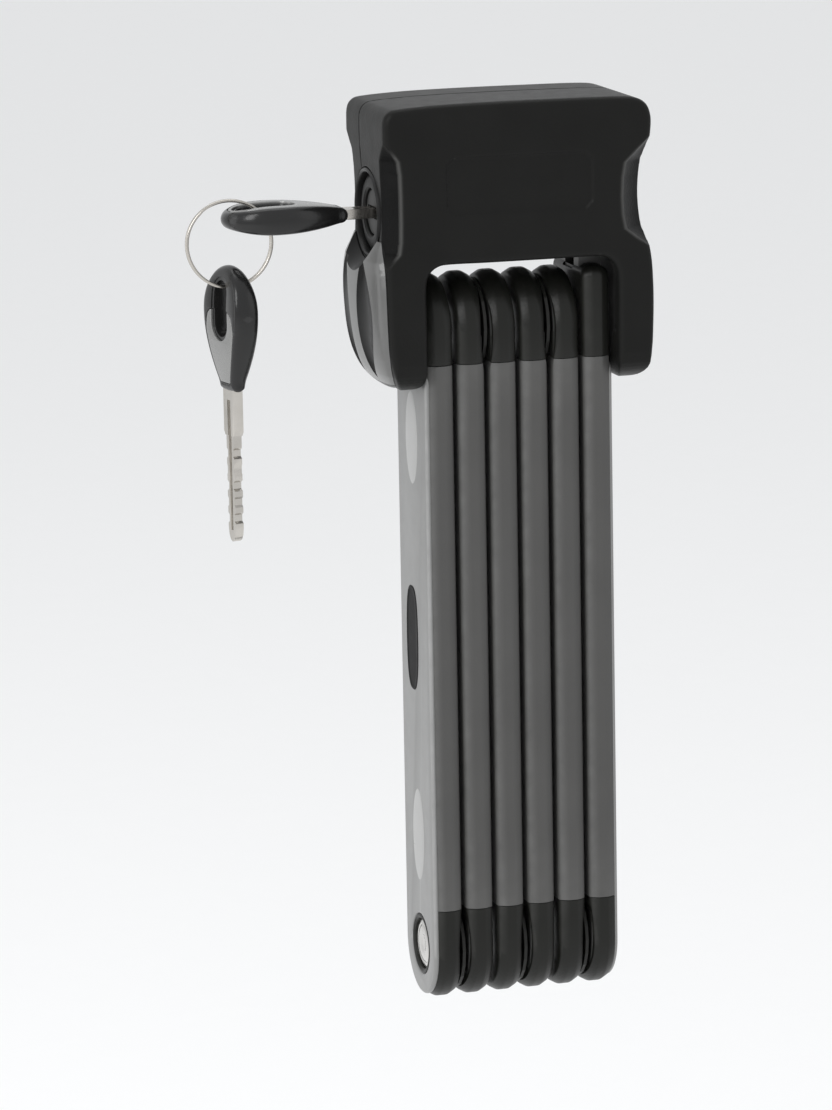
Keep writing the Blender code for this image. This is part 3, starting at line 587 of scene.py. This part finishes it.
LEFT_X = box_of("bar_1_trim")[0][0]
side_plate("left_side_plate", LEFT_X, -1, "bar_1", "bar_1_trim", r=11.3)
side_plate("right_side_plate", box_of("bar_6_trim")[1][0], 1, "bar_6", "bar_6_trim", r=10.9)
side_badge(LEFT_X)

# ---------------------------------------------------------------- lock head
HEAD_HALF_DEPTH = 15.97
SPLIT_Y = box_of("front_cover")[1][1] + 0.1
HALF_GAP = 0.05                # each half stops this short of the split
VOXEL = 0.30

# (x, z) seen from the front: down-turned arms at both ends and the flat inner roof
HEAD_OUTLINE = spline([
    (21.75, 146.5), (21.9, 143.2), (22.7, 140.9), (24.3, 139.35), (26.2, 139.25),
    (27.9, 140.4), (29.1, 142.8), (29.75, 147), (30.05, 153), (30.1, 160), (29.8, 166),
    (29.0, 171), (28.3, 176), (28.1, 181), (28.4, 186), (29.2, 191), (29.75, 195),
    (29.7, 198.2), (28.6, 200.6), (26.2, 201.9), (22, 202.35), (10, 202.5), (-5, 202.55),
    (-18, 202.4), (-27.2, 201.9), (-29.6, 201.3), (-30.8, 199.6), (-31, 196.5),
    (-30.9, 192), (-30.6, 187), (-30.4, 182), (-30.4, 177), (-30.6, 172), (-30.8, 166),
    (-30.7, 158), (-30.3, 150), (-29.4, 144.6), (-27.9, 141.2), (-25.9, 139.4),
    (-24.0, 139.2), (-22.6, 140.2), (-21.95, 142.5), (-21.75, 146), (-21.75, 155),
    (-21.75, 162.3), (-21.1, 165.4), (-19.2, 167.1), (-16.4, 167.55), (-8, 167.5),
    (0, 167.5), (8, 167.5), (16.4, 167.55), (19.2, 167.1), (21.1, 165.4), (21.75, 162.3),
    (21.75, 155),
])

# corner hollows: (height, x of the edge on the front or back face, depth in Y at the side)
RIGHT_HOLLOW = [(167.6, 31.0, 0.2), (170.6, 27.0, 3.5), (173.4, 23.5, 6.2), (176.5, 22.9, 6.9),
                (180.6, 22.7, 7.2), (184.8, 22.9, 6.9), (188.0, 23.5, 6.3), (191.6, 27.2, 3.4),
                (195.4, 31.0, 0.2)]
LEFT_HOLLOW = [(166.6, -31.6, 0.2), (168.6, -29.4, 2.6), (170.4, -27.9, 4.9),
               (173.0, -27.5, 5.5), (177.0, -27.4, 5.6), (183.0, -27.4, 5.6),
               (187.6, -27.5, 5.5), (190.6, -27.9, 4.9), (193.0, -29.5, 2.6),
               (195.4, -31.6, 0.2)]

# inner cavities: x from, to, z from, to, y from, to
HEAD_CAVITIES = [
    (-23.7, 23.7, 168.9, 188.8, -10.9, 10.9),
    (-27.1, 27.1, 160.6, 172.7, -10.9, 10.9),
    (13.75, 22.2, 150.5, 172.6, -12.8, 30),
    (13.6, 21.8, 180, 199.5, -9.3, 9.3),
]
# cylinder bore (x, radius) and screw hole (y, radius)
CYLINDER_BORE = [(-40, 0), (-40, 9.95), (-29.25, 9.95), (-29.25, 8.75), (-20, 8.75), (-20, 0)]
SCREW_HOLE = [(2.0, 0), (2.0, 1.8), (12.7, 1.8), (12.7, 2.95), (15.6, 2.95), (16.6, 3.5),
              (20, 3.5), (20, 0)]
BAR_HOLLOW_R, BAR_HOLLOW_TOP = 10.95, 171.5
# blank recessed field in the middle of the front, (x, z)
FRONT_FIELD = [(-15.5, 178.2), (14.5, 178.2), (16.2, 179.9), (16.2, 189.3), (14.5, 191.0),
               (-15.5, 191.0), (-17.2, 189.3), (-17.2, 179.9)]
FRONT_FIELD_DEPTH = 0.50


def scoop(rows, dip, side_x, side_y):
    """Cutter for a smooth hollow on one corner; dip is how far its face curves in."""
    rings = []
    for z, x_edge, depth in rows:
        start = Vector((x_edge, side_y * (HEAD_HALF_DEPTH + 0.02)))
        end = Vector((side_x * (30.9 if side_x < 0 else 30.2),
                      side_y * (HEAD_HALF_DEPTH - depth)))
        inward = Vector((-side_x * 0.55, -side_y * 0.84))
        ring = []
        for k in range(13):
            t = k / 12
            p = start.lerp(end, t) + inward * (dip * 4 * t * (1 - t)) * min(1.0, depth / 6)
            ring.append(at(p.x, p.y, z))
        ring.append(at(side_x * 40, side_y * (HEAD_HALF_DEPTH - depth), z))
        ring.append(at(side_x * 40, side_y * (HEAD_HALF_DEPTH + 8), z))
        ring.append(at(x_edge, side_y * (HEAD_HALF_DEPTH + 8), z))
        rings.append(ring)
    return loft(rings)


def arm_end_outline():
    """Side view (y, z) that gives the arms rounded corners at the foot."""
    half, n = HEAD_HALF_DEPTH + 0.3, 40
    foot = []
    for k in range(n + 1):
        across = 2 * k / n - 1
        drop = max(0.0, 1 - abs(across) ** 2.6) ** (1 / 2.6)
        foot.append((half * across, 139.0 + 8.5 * (1 - drop)))
    return foot + [(half, 210), (-half, 210)]


def voxelled(piece):
    """Remeshes evenly and relaxes, which rounds every edge like a moulding."""
    remesh = piece.modifiers.new("vox", "REMESH")
    remesh.mode = "VOXEL"
    remesh.voxel_size = VOXEL * MM
    remesh.use_smooth_shade = True
    soft = piece.modifiers.new("soft", "SMOOTH")
    soft.factor = 0.5
    soft.iterations = 2
    applied(piece)
    piece.data.shade_smooth()


def mark_painted_light(piece):
    """Marks the smooth hollows for painted shade, and the line along the edge of each for a
    painted highlight.
    """
    mesh = piece.data
    co = np.empty(len(mesh.vertices) * 3)
    mesh.vertices.foreach_get("co", co)
    co = co.reshape(-1, 3) / MM
    z = co[:, 2] + HEAD_TOP
    off_centre = np.abs(co[:, 1])
    hollow, line = np.zeros(len(co)), np.zeros(len(co))
    for rows, side_x in ((RIGHT_HOLLOW, 1), (LEFT_HOLLOW, -1)):
        heights, edges, depths = zip(*rows)
        past = side_x * (co[:, 0] - np.interp(z, heights, edges))
        depth = np.interp(z, heights, depths)
        # fades in and out at the two ends of the hollow
        along = (np.clip((z - heights[0] - 1.5) / 2.5, 0, 1)
                 * np.clip((heights[-1] - 1.5 - z) / 2.5, 0, 1))
        # painted shade inside the hollow
        hollow = np.maximum(hollow, along * np.clip(past / 0.5, 0, 1) * np.clip(
            (off_centre - HEAD_HALF_DEPTH + depth) / 0.6, 0, 1) * (depth > 1))
        # painted highlight along the hollow's edge
        line = np.maximum(line, along * np.exp(-(past / 0.36) ** 2) * (
            off_centre > HEAD_HALF_DEPTH - 0.9) * np.clip((depth - 2.0) / 2.0, 0, 1))
    for name, values in (("hollow", hollow), ("painted_edge_highlight", line)):
        attribute = mesh.attributes.new(name, "FLOAT", "POINT")
        attribute.data.foreach_set("value", values.astype(np.float32))


def screw_centre(number):
    x, _, z = centre_of(f"cover_screw_{number}")
    return x, z + HEAD_TOP


def head_half(front):
    half = prism(HEAD_OUTLINE, "xz", -HEAD_HALF_DEPTH, HEAD_HALF_DEPTH, "half", HEAD_BLACK)
    bevelled(half, 1.5, segments=4, angle=55)
    boolean(half, prism(arm_end_outline(), "yz", -60, 60), "INTERSECT")
    for side_y in (-1, 1):
        boolean(half, scoop(RIGHT_HOLLOW, 0.5, 1, side_y))
        boolean(half, scoop(LEFT_HOLLOW, 0.4, -1, side_y))
    span = (-40, SPLIT_Y - HALF_GAP) if front else (SPLIT_Y + HALF_GAP, 40)
    boolean(half, prism(rect(-60, 60, 120, 220), "xz", *span), "INTERSECT")

    for x0, x1, z0, z1, y0, y1 in HEAD_CAVITIES:
        boolean(half, prism(rect(x0, x1, z0, z1), "xz", y0, y1))
    boolean(half, turned(CYLINDER_BORE, (0, KEYHOLE_Z), seg=80))
    bar_end = arc(0, HIGH, BAR_HOLLOW_R, 180, 360, 24)
    bar_end += [(BAR_HOLLOW_R, BAR_HOLLOW_TOP), (-BAR_HOLLOW_R, BAR_HOLLOW_TOP)]
    for x0, x1 in ((-27.5, -20), (20, 27.4)):
        boolean(half, prism(bar_end, "yz", x0, x1))

    if front:
        boolean(half, prism(FRONT_FIELD, "xz", -HEAD_HALF_DEPTH - 2,
                            -HEAD_HALF_DEPTH + FRONT_FIELD_DEPTH))
    else:
        for number in range(1, 4):
            boolean(half, turned(SCREW_HOLE, screw_centre(number), seg=40, axis="Y"))
    voxelled(half)
    mark_painted_light(half)
    half.name = "front_shell" if front else "rear_shell"
    register(half, "head", "head_black", "front_cover" if front else "rear_cover")


head_half(front=True)
head_half(front=False)

# ---------------------------------------------------------------- cheek on the keyed side
# (height, half width): a rounded foot, then two horns that run up beside the keyhole
CHEEK_WIDTHS = [(139.45, 0.0), (139.7, 5.6), (140.8, 9.6), (143.2, 12.4), (147.2, 14.1),
                (152.6, 14.8), (159.0, 15.0), (163.0, 14.9), (166.2, 14.4), (168.6, 13.3),
                (170.6, 11.9), (172.8, 10.8)]
CHEEK_LO, CHEEK_HI, CHEEK_ROWS = 139.6, 172.7, 110
CHEEK_FOOT_ROWS = 5            # the lowest rows are dark all the way across
CHEEK_BULGE, CHEEK_BACK, FLUTE_DEPTH = 3.65, 1.9, 0.95
# columns across: facet, flute, spine, flute, facet
CHEEK_COLUMNS = (12, 16, 18, 16, 12)
FLUTES = (1, 3)
# the head's -X side as (height, x)
SIDE_LINE = sorted((z, x) for x, z in HEAD_OUTLINE if x < -23.9 and z < 200)


def cheek_row(z):
    """One row of points across the cheek, from -Y to +Y."""
    half = max(interpolated(z, CHEEK_WIDTHS), 0.9)
    # bulge along the height, closing off near the top
    rise = math.sin(math.pi * min(1.0, max(0.0, (z - 138.2) / 41.0)) ** 1.08) ** 0.5
    swell = rise * min(1.0, max(0.0, (CHEEK_HI + 0.3 - z) / 4.5)) ** 0.5
    # the flutes are lens shaped: this far from the middle, and this wide to each side
    flute_y = min(7.3 * max(0.05, 1 - ((z - 158.0) / 27.0) ** 2), half * 0.60)
    flute_half = max(0.03, 4.2 * max(0.0, 1 - ((z - 155.6) / 13.4) ** 2) ** 0.85)
    cuts = (-half, -flute_y - flute_half, -flute_y + flute_half,
            flute_y - flute_half, flute_y + flute_half, half)
    row = []
    for part, n in enumerate(CHEEK_COLUMNS):
        for k in range(n + (part == 4)):
            y = cuts[part] + (cuts[part + 1] - cuts[part]) * k / n
            edge = max(0.0, 1 - abs(y / half) ** 2.6) ** 0.55
            x = interpolated(z, SIDE_LINE) - 0.05 - CHEEK_BULGE * swell * edge
            if part in FLUTES:
                x += FLUTE_DEPTH * min(1.0, flute_half / 2.0) * (1 - (2 * k / n - 1) ** 2)
            row.append(Vector((x, y, z)))
    return row


def cheek():
    """Full, rounded cover: a spine, a dark flute each side of it and outer facets; spine and
    outer facets are painted light grey, a painted sheen standing in for light reflected off the
    black plastic.
    """
    bm = bmesh.new()
    rows = [cheek_row(CHEEK_LO + (CHEEK_HI - CHEEK_LO) * i / CHEEK_ROWS)
            for i in range(CHEEK_ROWS + 1)]
    verts = [[bm.verts.new(at(*p)) for p in row] for row in rows]
    back = [[bm.verts.new(at(min(interpolated(p.z, SIDE_LINE) + CHEEK_BACK,
                                 p.x + CHEEK_BACK), p.y, p.z))
             for p in (row[0], row[-1])] for row in rows]
    part_of = [part for part, n in enumerate(CHEEK_COLUMNS) for _ in range(n)]
    for i in range(CHEEK_ROWS):
        for j, part in enumerate(part_of):
            face = bm.faces.new(
                (verts[i][j], verts[i][j + 1], verts[i + 1][j + 1], verts[i + 1][j]))
            # index 1 is the painted sheen grey, index 0 the cheek's own black
            face.material_index = 0 if part in FLUTES or i < CHEEK_FOOT_ROWS else 1
        for end in (0, -1):
            bm.faces.new((verts[i][end], back[i][end], back[i + 1][end], verts[i + 1][end]))
        bm.faces.new((back[i][0], back[i][1], back[i + 1][1], back[i + 1][0]))
    for i in (0, CHEEK_ROWS):
        bm.faces.new(verts[i] + [back[i][1], back[i][0]])
    cover = object_from(bm, "cheek_shield", [CHEEK_DARK, PAINTED_SHEEN_GREY])
    # a dark dish opens outwards round the keyhole
    dish = [(-45, 0), (-45, 19.5), (-31.0, 10.25), (-20, 10.25), (-20, 0)]
    boolean(cover, turned(dish, (0, KEYHOLE_Z), material=CHEEK_DARK, seg=120))
    register(smooth(cover, 22), "head", "cheek_gloss", "left_cheek_cover")


cheek()

# ---------------------------------------------------------------- cylinder and cover screws
# (x, radius) for the cylinder parts, (y, radius) for the screw
BEZEL = [(-29.3, 8.76), (-30.3, 8.76), (-30.75, 8.95), (-30.95, 9.3), (-30.7, 9.7),
         (-30.1, 9.92), (-29.3, 9.92)]
SLEEVE = [(-29.62, 5.25), (-30.05, 5.6), (-30.1, 6.2), (-29.9, 7.4), (-29.5, 8.1),
          (-29.0, 8.4), (10.2, 8.4), (10.2, 6.1), (-27.4, 6.1), (-27.4, 5.25)]
CORE = [(-29.45, 0), (-29.45, 4.4), (-29.3, 4.8), (-28.9, 5.0), (-27.2, 5.0), (-27.2, 5.85),
        (10.0, 5.85), (10.0, 0)]
SCREW = [(-6, 0), (-6, 1.25), (12.9, 1.25), (12.9, 2.6), (13.9, 2.6), (14.35, 2.4),
         (14.6, 2.0), (14.6, 1.35), (13.5, 1.2), (13.4, 0)]
SCREW_HEX_R = 1.5


def core_plug():
    core = turned(CORE, (0, KEYHOLE_Z), "core_plug", CORE_PAINTED_SHADE, seg=80)
    # the key's slot, the hollow behind it and a narrow slit over the hollow
    boolean(core, prism(rect(-3.4, 3.4, KEYHOLE_Z - 1.35, KEYHOLE_Z + 1.35), "yz", -31, -20))
    boolean(core, drum(-25.6, 3.0, 4.75, (0, KEYHOLE_Z)))
    boolean(core, prism(rect(-0.8, 0.8, KEYHOLE_Z + 4, KEYHOLE_Z + 7), "yz", -24.5, 1.0))
    register(smooth(core), "cylinder_core", "hardened_steel", "cylinder_core")


def cover_screw(number):
    x, z = screw_centre(number)
    screw = turned(SCREW, (x, z), f"cover_screw_{number}_head", RIVET_STEEL, seg=48, axis="Y")
    socket = [(x + SCREW_HEX_R * c, z + SCREW_HEX_R * s) for c, s in circle(6)]
    boolean(screw, prism(socket, "xz", 13.2, 16))
    register(smooth(screw), "head", "rivet_steel", f"cover_screw_{number}")


register(turned(BEZEL, (0, KEYHOLE_Z), "keyhole_bezel_ring", CHEEK_DARK, seg=96),
         "head", "cheek_gloss", "keyhole_bezel")
# the sleeve is near black: painted shade over the keyhole
register(turned(SLEEVE, (0, KEYHOLE_Z), "cylinder_sleeve", BARREL_PAINTED_SHADE, seg=96),
         "head", "hardened_steel", "cylinder_barrel")
core_plug()
for number in range(1, 4):
    cover_screw(number)

# ---------------------------------------------------------------- keys
# In a key's own frame the blade points along +X, the bow lies at -X and Z is its thickness.
# bow outline: (x, half width)
BOW = [(0.6, 3.0), (-1.6, 3.9), (-4.5, 5.2), (-8, 6.6), (-12, 7.8), (-16, 8.35),
       (-19.5, 8.2), (-22.5, 7.1), (-24.9, 5.2), (-26.4, 2.9), (-26.95, 0)]
BOW_T = 6.0
BOW_ROUND = 1.7                # how far the rim draws in at the two faces
TAIL_X = -27
RING_SLOT_FROM, RING_SLOT_TO, RING_SLOT_R = 3.2, 15.6, 2.9      # measured from the tail
INLAY_MARGIN = 1.5
BLADE_HALF, BLADE_HALF_T = 1.75, 0.95
CUT_DEPTHS = (0.55, 0.25, 0.7, 0.4, 0.6)
CUT_START, CUT_PITCH = 13.4, 3.6
KEY_2_TWIST = 13.0             # degrees
IDENTITY = Matrix.Identity(4)


def mirrored(points):
    return [(x, -y) for x, y in reversed(points)]


BOW_OUTLINE = spline(BOW + mirrored(BOW[:-1]))
BLADE = [(8, -BLADE_HALF), (31.0, -BLADE_HALF), (32.6, -1.45), (33.7, -0.8), (34.1, 0),
         (33.7, 0.8), (32.6, 1.45), (31.0, BLADE_HALF), (8, BLADE_HALF)]
BLADE_COLLAR = [(-8, -2.5), (9.6, -2.5), (10.5, -1.9), (10.5, 1.9), (9.6, 2.5), (-8, 2.5)]
BLADE_GROOVE = [(2.6, -0.75), (31.5, -0.45), (31.5, 0.45), (2.6, 0.75)]


def bow_ring(inset, z):
    """The bow's outline drawn in by a distance, at height z on the key."""
    points = [Vector(p) for p in BOW_OUTLINE]
    ring = []
    for i, p in enumerate(points):
        along = (points[(i + 1) % len(points)] - points[i - 1]).normalized()
        inward = Vector((-along.y, along.x))
        if inward.dot(Vector((-13, 0)) - p) < 0:
            inward = -inward
        q = p + inward * inset
        ring.append(Vector((q.x * MM, q.y * MM, z * MM)))
    return ring


def key_prism(outline, lo, hi, name="tool", material=END_BLACK, place=IDENTITY):
    return loft([[place @ Vector((x * MM, y * MM, z * MM)) for x, y in outline]
                 for z in (lo, hi)], name, material)


def slot_outline(grow):
    r = RING_SLOT_R + grow
    return (arc(TAIL_X + RING_SLOT_FROM + RING_SLOT_R, 0, r, 90, 270, 16)
            + arc(TAIL_X + RING_SLOT_TO - RING_SLOT_R, 0, r, -90, 90, 16))


def inlay_outline(long):
    """Silver field on one face; the long one runs on round the slot."""

    def edge(start, end, count):
        widths = sorted(BOW)
        return [(float(x), interpolated(float(x), widths) - INLAY_MARGIN)
                for x in np.linspace(start, end, count)]

    half = edge(-1.2, -13.0, 12)
    if long:
        half += edge(-14.2, -23.8, 9) + [(-24.9, 3.0), (-25.4, 1.5)]
    else:
        half += [(-15.0, 6.1), (-16.4, 5.5), (-17.2, 4.5), (-17.4, 3.2)]
    return half + mirrored(half)


def bow_thickness(x):
    """The bow is thickest under the thumb and thins towards the blade and the tail."""
    away = (x + 15.5) / (12.5 if x < -15.5 else 17.0)
    return BOW_T - 3.6 * abs(away) ** 2.2


def thin_and_place(piece, place):
    """Slices a bow piece across its length, thins it to the profile and puts it in place."""
    bm = bmesh.new()
    bm.from_mesh(piece.data)
    for k in range(-53, 2):
        bmesh.ops.bisect_plane(bm, geom=bm.verts[:] + bm.edges[:] + bm.faces[:],
                               plane_co=(k * 0.5 * MM, 0, 0), plane_no=(1, 0, 0), dist=1e-7)
    for v in bm.verts:
        v.co.z *= bow_thickness(v.co.x / MM) / BOW_T
    bm.transform(place)
    bm.to_mesh(piece.data)
    bm.free()


def key_bow(tag, place, long_side):
    rings = []
    for degrees in range(-90, 91, 12):
        angle = math.radians(degrees)
        round_in = 1 - math.cos(angle) ** 0.7 if abs(degrees) < 90 else 1
        rings.append(bow_ring(BOW_ROUND * round_in, BOW_T / 2 * math.sin(angle)))
    bow = loft(rings, f"{tag}_bow_shell", KEY_BLACK)
    boolean(bow, key_prism(slot_outline(0), -6, 6))
    for side in (-1, 1):
        field = inlay_outline(long=side == long_side)
        boolean(bow, key_prism(field, *sorted((side * 2.5, side * 6))))
        boolean(bow, key_prism(slot_outline(0.8), *sorted((side * 2.72, side * 6))))
        # the inlay is a little smaller than its recess
        small = [(-8 + (x + 8) * 0.985, y * 0.972) for x, y in field]
        inlay = key_prism(small, *sorted((side * 2.3, side * 3.02)),
                          f"{tag}_inlay_{'top' if side > 0 else 'under'}", INLAY_SILVER)
        boolean(inlay, key_prism(slot_outline(0.85), -6, 6))
        bevelled(inlay, 0.14, segments=2, angle=60)
        thin_and_place(inlay, place)
        label = [f"{tag}_label"] if side > 0 else []
        register(smooth(inlay, 40), tag, "trim_silver", *label)
    bevelled(bow, 0.22, segments=2, angle=55)
    thin_and_place(bow, place)
    register(smooth(bow, 45), tag, "key_black", f"{tag}_bow")


def key_blade(tag, place):
    """Flat collar, then a slim blade, grooved on its faces and cut along both edges."""
    blade = key_prism(BLADE_COLLAR, -1.1, 1.1, f"{tag}_blade_steel", NICKEL, place)
    boolean(blade, key_prism(BLADE, -BLADE_HALF_T, BLADE_HALF_T, place=place), "UNION")
    for side in (-1, 1):
        boolean(blade, key_prism(BLADE_GROOVE, *sorted((side * 0.62, side * 3)), place=place))
    for k, depth in enumerate(CUT_DEPTHS):
        x = CUT_START + CUT_PITCH * k
        for side, shift in ((1, 0.0), (-1, 0.2)):
            floor_y = BLADE_HALF - depth
            cut = [(x + shift + along, side * y) for along, y in (
                (-0.5, 3), (-0.25, BLADE_HALF), (0.25, floor_y),
                (1.65, floor_y), (2.15, BLADE_HALF), (2.4, 3))]
            boolean(blade, key_prism(cut, -3, 3, place=place))
    bevelled(blade, 0.12, segments=2, angle=45)
    register(smooth(blade), tag, "key_nickel", f"{tag}_blade")


def build_key(tag, place, long_side):
    key_bow(tag, place, long_side)
    key_blade(tag, place)


ring_lo, ring_hi = box_of("key_ring")
ring_x, _, ring_z = centre_of("key_ring")
RING = Vector((ring_x, 0, ring_z))

# key 1 points along +X
key_1_x = box_of("key_1_bow")[1][0]
key_1_z = centre_of("key_1_bow")[2]
build_key("key_1", Matrix.Translation(Vector((key_1_x * MM, 0, key_1_z * MM))), long_side=1)

# key 2 hangs from the ring, blade down, turned a little about the vertical
key_2_z = box_of("key_2_bow")[0][2]
BLADE_DOWN = Matrix(((0, 0, -1), (0, -1, 0), (-1, 0, 0))).to_4x4()
build_key("key_2", Matrix.Translation(Vector((RING.x * MM, 0, key_2_z * MM)))
          @ Matrix.Rotation(math.radians(KEY_2_TWIST), 4, "Z") @ BLADE_DOWN, long_side=-1)

# ---------------------------------------------------------------- split ring
RING_R = (ring_hi[0] - ring_lo[0]) / 2 - 0.45
WIRE_R = 0.36
WIRE_STEPS = 190
WIRE_TURNS, WIRE_START = 1.96, 130     # turns, and starting angle in degrees
WIRE_OFFSET = 0.37                     # each turn lies this far off the middle plane in Y


def split_ring():
    """Two turns of thin wire lying side by side."""
    curve = bpy.data.curves.new("wire_ring", "CURVE")
    curve.dimensions = "3D"
    curve.bevel_depth = WIRE_R * MM
    curve.bevel_resolution = 4
    curve.use_fill_caps = True
    path = curve.splines.new("POLY")
    path.points.add(WIRE_STEPS)
    for k, point in enumerate(path.points):
        t = k / WIRE_STEPS
        angle = math.tau * WIRE_TURNS * t + math.radians(WIRE_START)
        y = WIRE_OFFSET * math.tanh((t - 0.5) * 9)
        r = RING_R + 0.05 * math.sin(angle * 3)
        point.co = ((RING.x + r * math.cos(angle)) * MM, y * MM,
                    (RING.z + r * math.sin(angle)) * MM, 1)
    wire = bpy.data.objects.new("wire_ring", curve)
    COLLECTION.objects.link(wire)
    curve.materials.append(NICKEL)
    graph = bpy.context.evaluated_depsgraph_get()
    mesh = bpy.data.meshes.new_from_object(wire.evaluated_get(graph))
    bpy.data.objects.remove(wire, do_unlink=True)
    ring = bpy.data.objects.new("wire_ring", mesh)
    COLLECTION.objects.link(ring)
    # weld the caps to the tube
    bm = bmesh.new()
    bm.from_mesh(mesh)
    bmesh.ops.remove_doubles(bm, verts=bm.verts, dist=1e-7)
    bmesh.ops.recalc_face_normals(bm, faces=bm.faces)
    bm.to_mesh(mesh)
    bm.free()
    if not mesh.materials:     # in case the conversion leaves the curve's material behind
        mesh.materials.append(NICKEL)
    register(smooth(ring, 60), "key_ring", "key_nickel", "key_ring")


split_ring()

# ---------------------------------------------------------------- finishes of the CAD pieces
CAD_FINISHES = {"lock_frame": FRAME_STEEL, "drive_cam": STEEL, "locking_bolt": STEEL,
                "sidebar": BRASS, "bolt_spring": SPRING_STEEL}


def cad_finish(name):
    if name.endswith("_plate"):
        return FRAME_STEEL
    if name.startswith("spacer"):
        return END_BLACK
    if name.startswith("detainer"):
        return BRASS
    return CAD_FINISHES.get(name, RIVET_STEEL)


for name, piece in NODES.items():
    piece.data.materials.clear()
    piece.data.materials.append(cad_finish(name))

# ---------------------------------------------------------------- studio, in metres
# the bars open downwards past their folded foot, so the lock is held clear of the floor
FLOOR_Z = -0.39
LIGHT_TARGET = (-0.02, 0, -0.10)


def studio_floor():
    paper = surface("floor_paper", rgb=(0.93, 0.93, 0.93), rough=0.80, mottling=0.002, spec=0.1)
    bm = bmesh.new()
    bmesh.ops.create_grid(bm, x_segments=12, y_segments=12, size=16.0)
    for v in bm.verts:
        v.co.z = FLOOR_Z
    object_from(bm, "studio_floor", [paper])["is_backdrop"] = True


def area_light(name, place, size, power):
    light = bpy.data.lights.new(name, "AREA")
    light.shape = "RECTANGLE"
    light.size, light.size_y = size
    light.energy = power
    lamp = bpy.data.objects.new(name, light)
    lamp.location = place
    aim = Vector(LIGHT_TARGET) - Vector(place)
    lamp.rotation_euler = aim.to_track_quat("-Z", "Y").to_euler()
    COLLECTION.objects.link(lamp)


def studio_world():
    world = bpy.data.worlds.new("studio")
    bpy.context.scene.world = world
    world.use_nodes = True
    feed(world.node_tree, world.node_tree.nodes["Background"],
         {"Color": (0.93, 0.94, 0.95, 1), "Strength": 0.88})


def camera():
    """Long lens from the front left, a little above the lock."""
    eye = Vector((-335.5, -1107.6, 333.2 - HEAD_TOP)) * MM
    upward = Vector((0.1109, 0.3237, 0.9396))
    lens = bpy.data.cameras.new("camera")
    lens.lens = 172.0
    lens.sensor_width = 36.0
    lens.clip_start, lens.clip_end = 0.01, 20
    viewer = bpy.data.objects.new("camera", lens)
    COLLECTION.objects.link(viewer)
    forward = (at(-21, 0, 101) - eye).normalized()
    right = forward.cross(upward).normalized()
    turn = Matrix((right, right.cross(forward), -forward)).transposed()
    viewer.matrix_world = Matrix.Translation(eye) @ turn.to_4x4()
    bpy.context.scene.camera = viewer


studio_floor()
area_light("key_light", place=(-0.98, -0.86, 0.62), size=(0.55, 0.9), power=8.0)
area_light("fill_light", place=(1.1, -0.7, 0.25), size=(0.6, 1.0), power=0.55)
area_light("side_light", place=(-1.2, 0.1, 0.05), size=(0.5, 1.0), power=1.8)
area_light("top_light", place=(0.0, 0.25, 1.15), size=(1.0, 0.8), power=3.4)
studio_world()
camera()
bpy.context.scene.view_settings.view_transform = "Standard"

lo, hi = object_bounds()
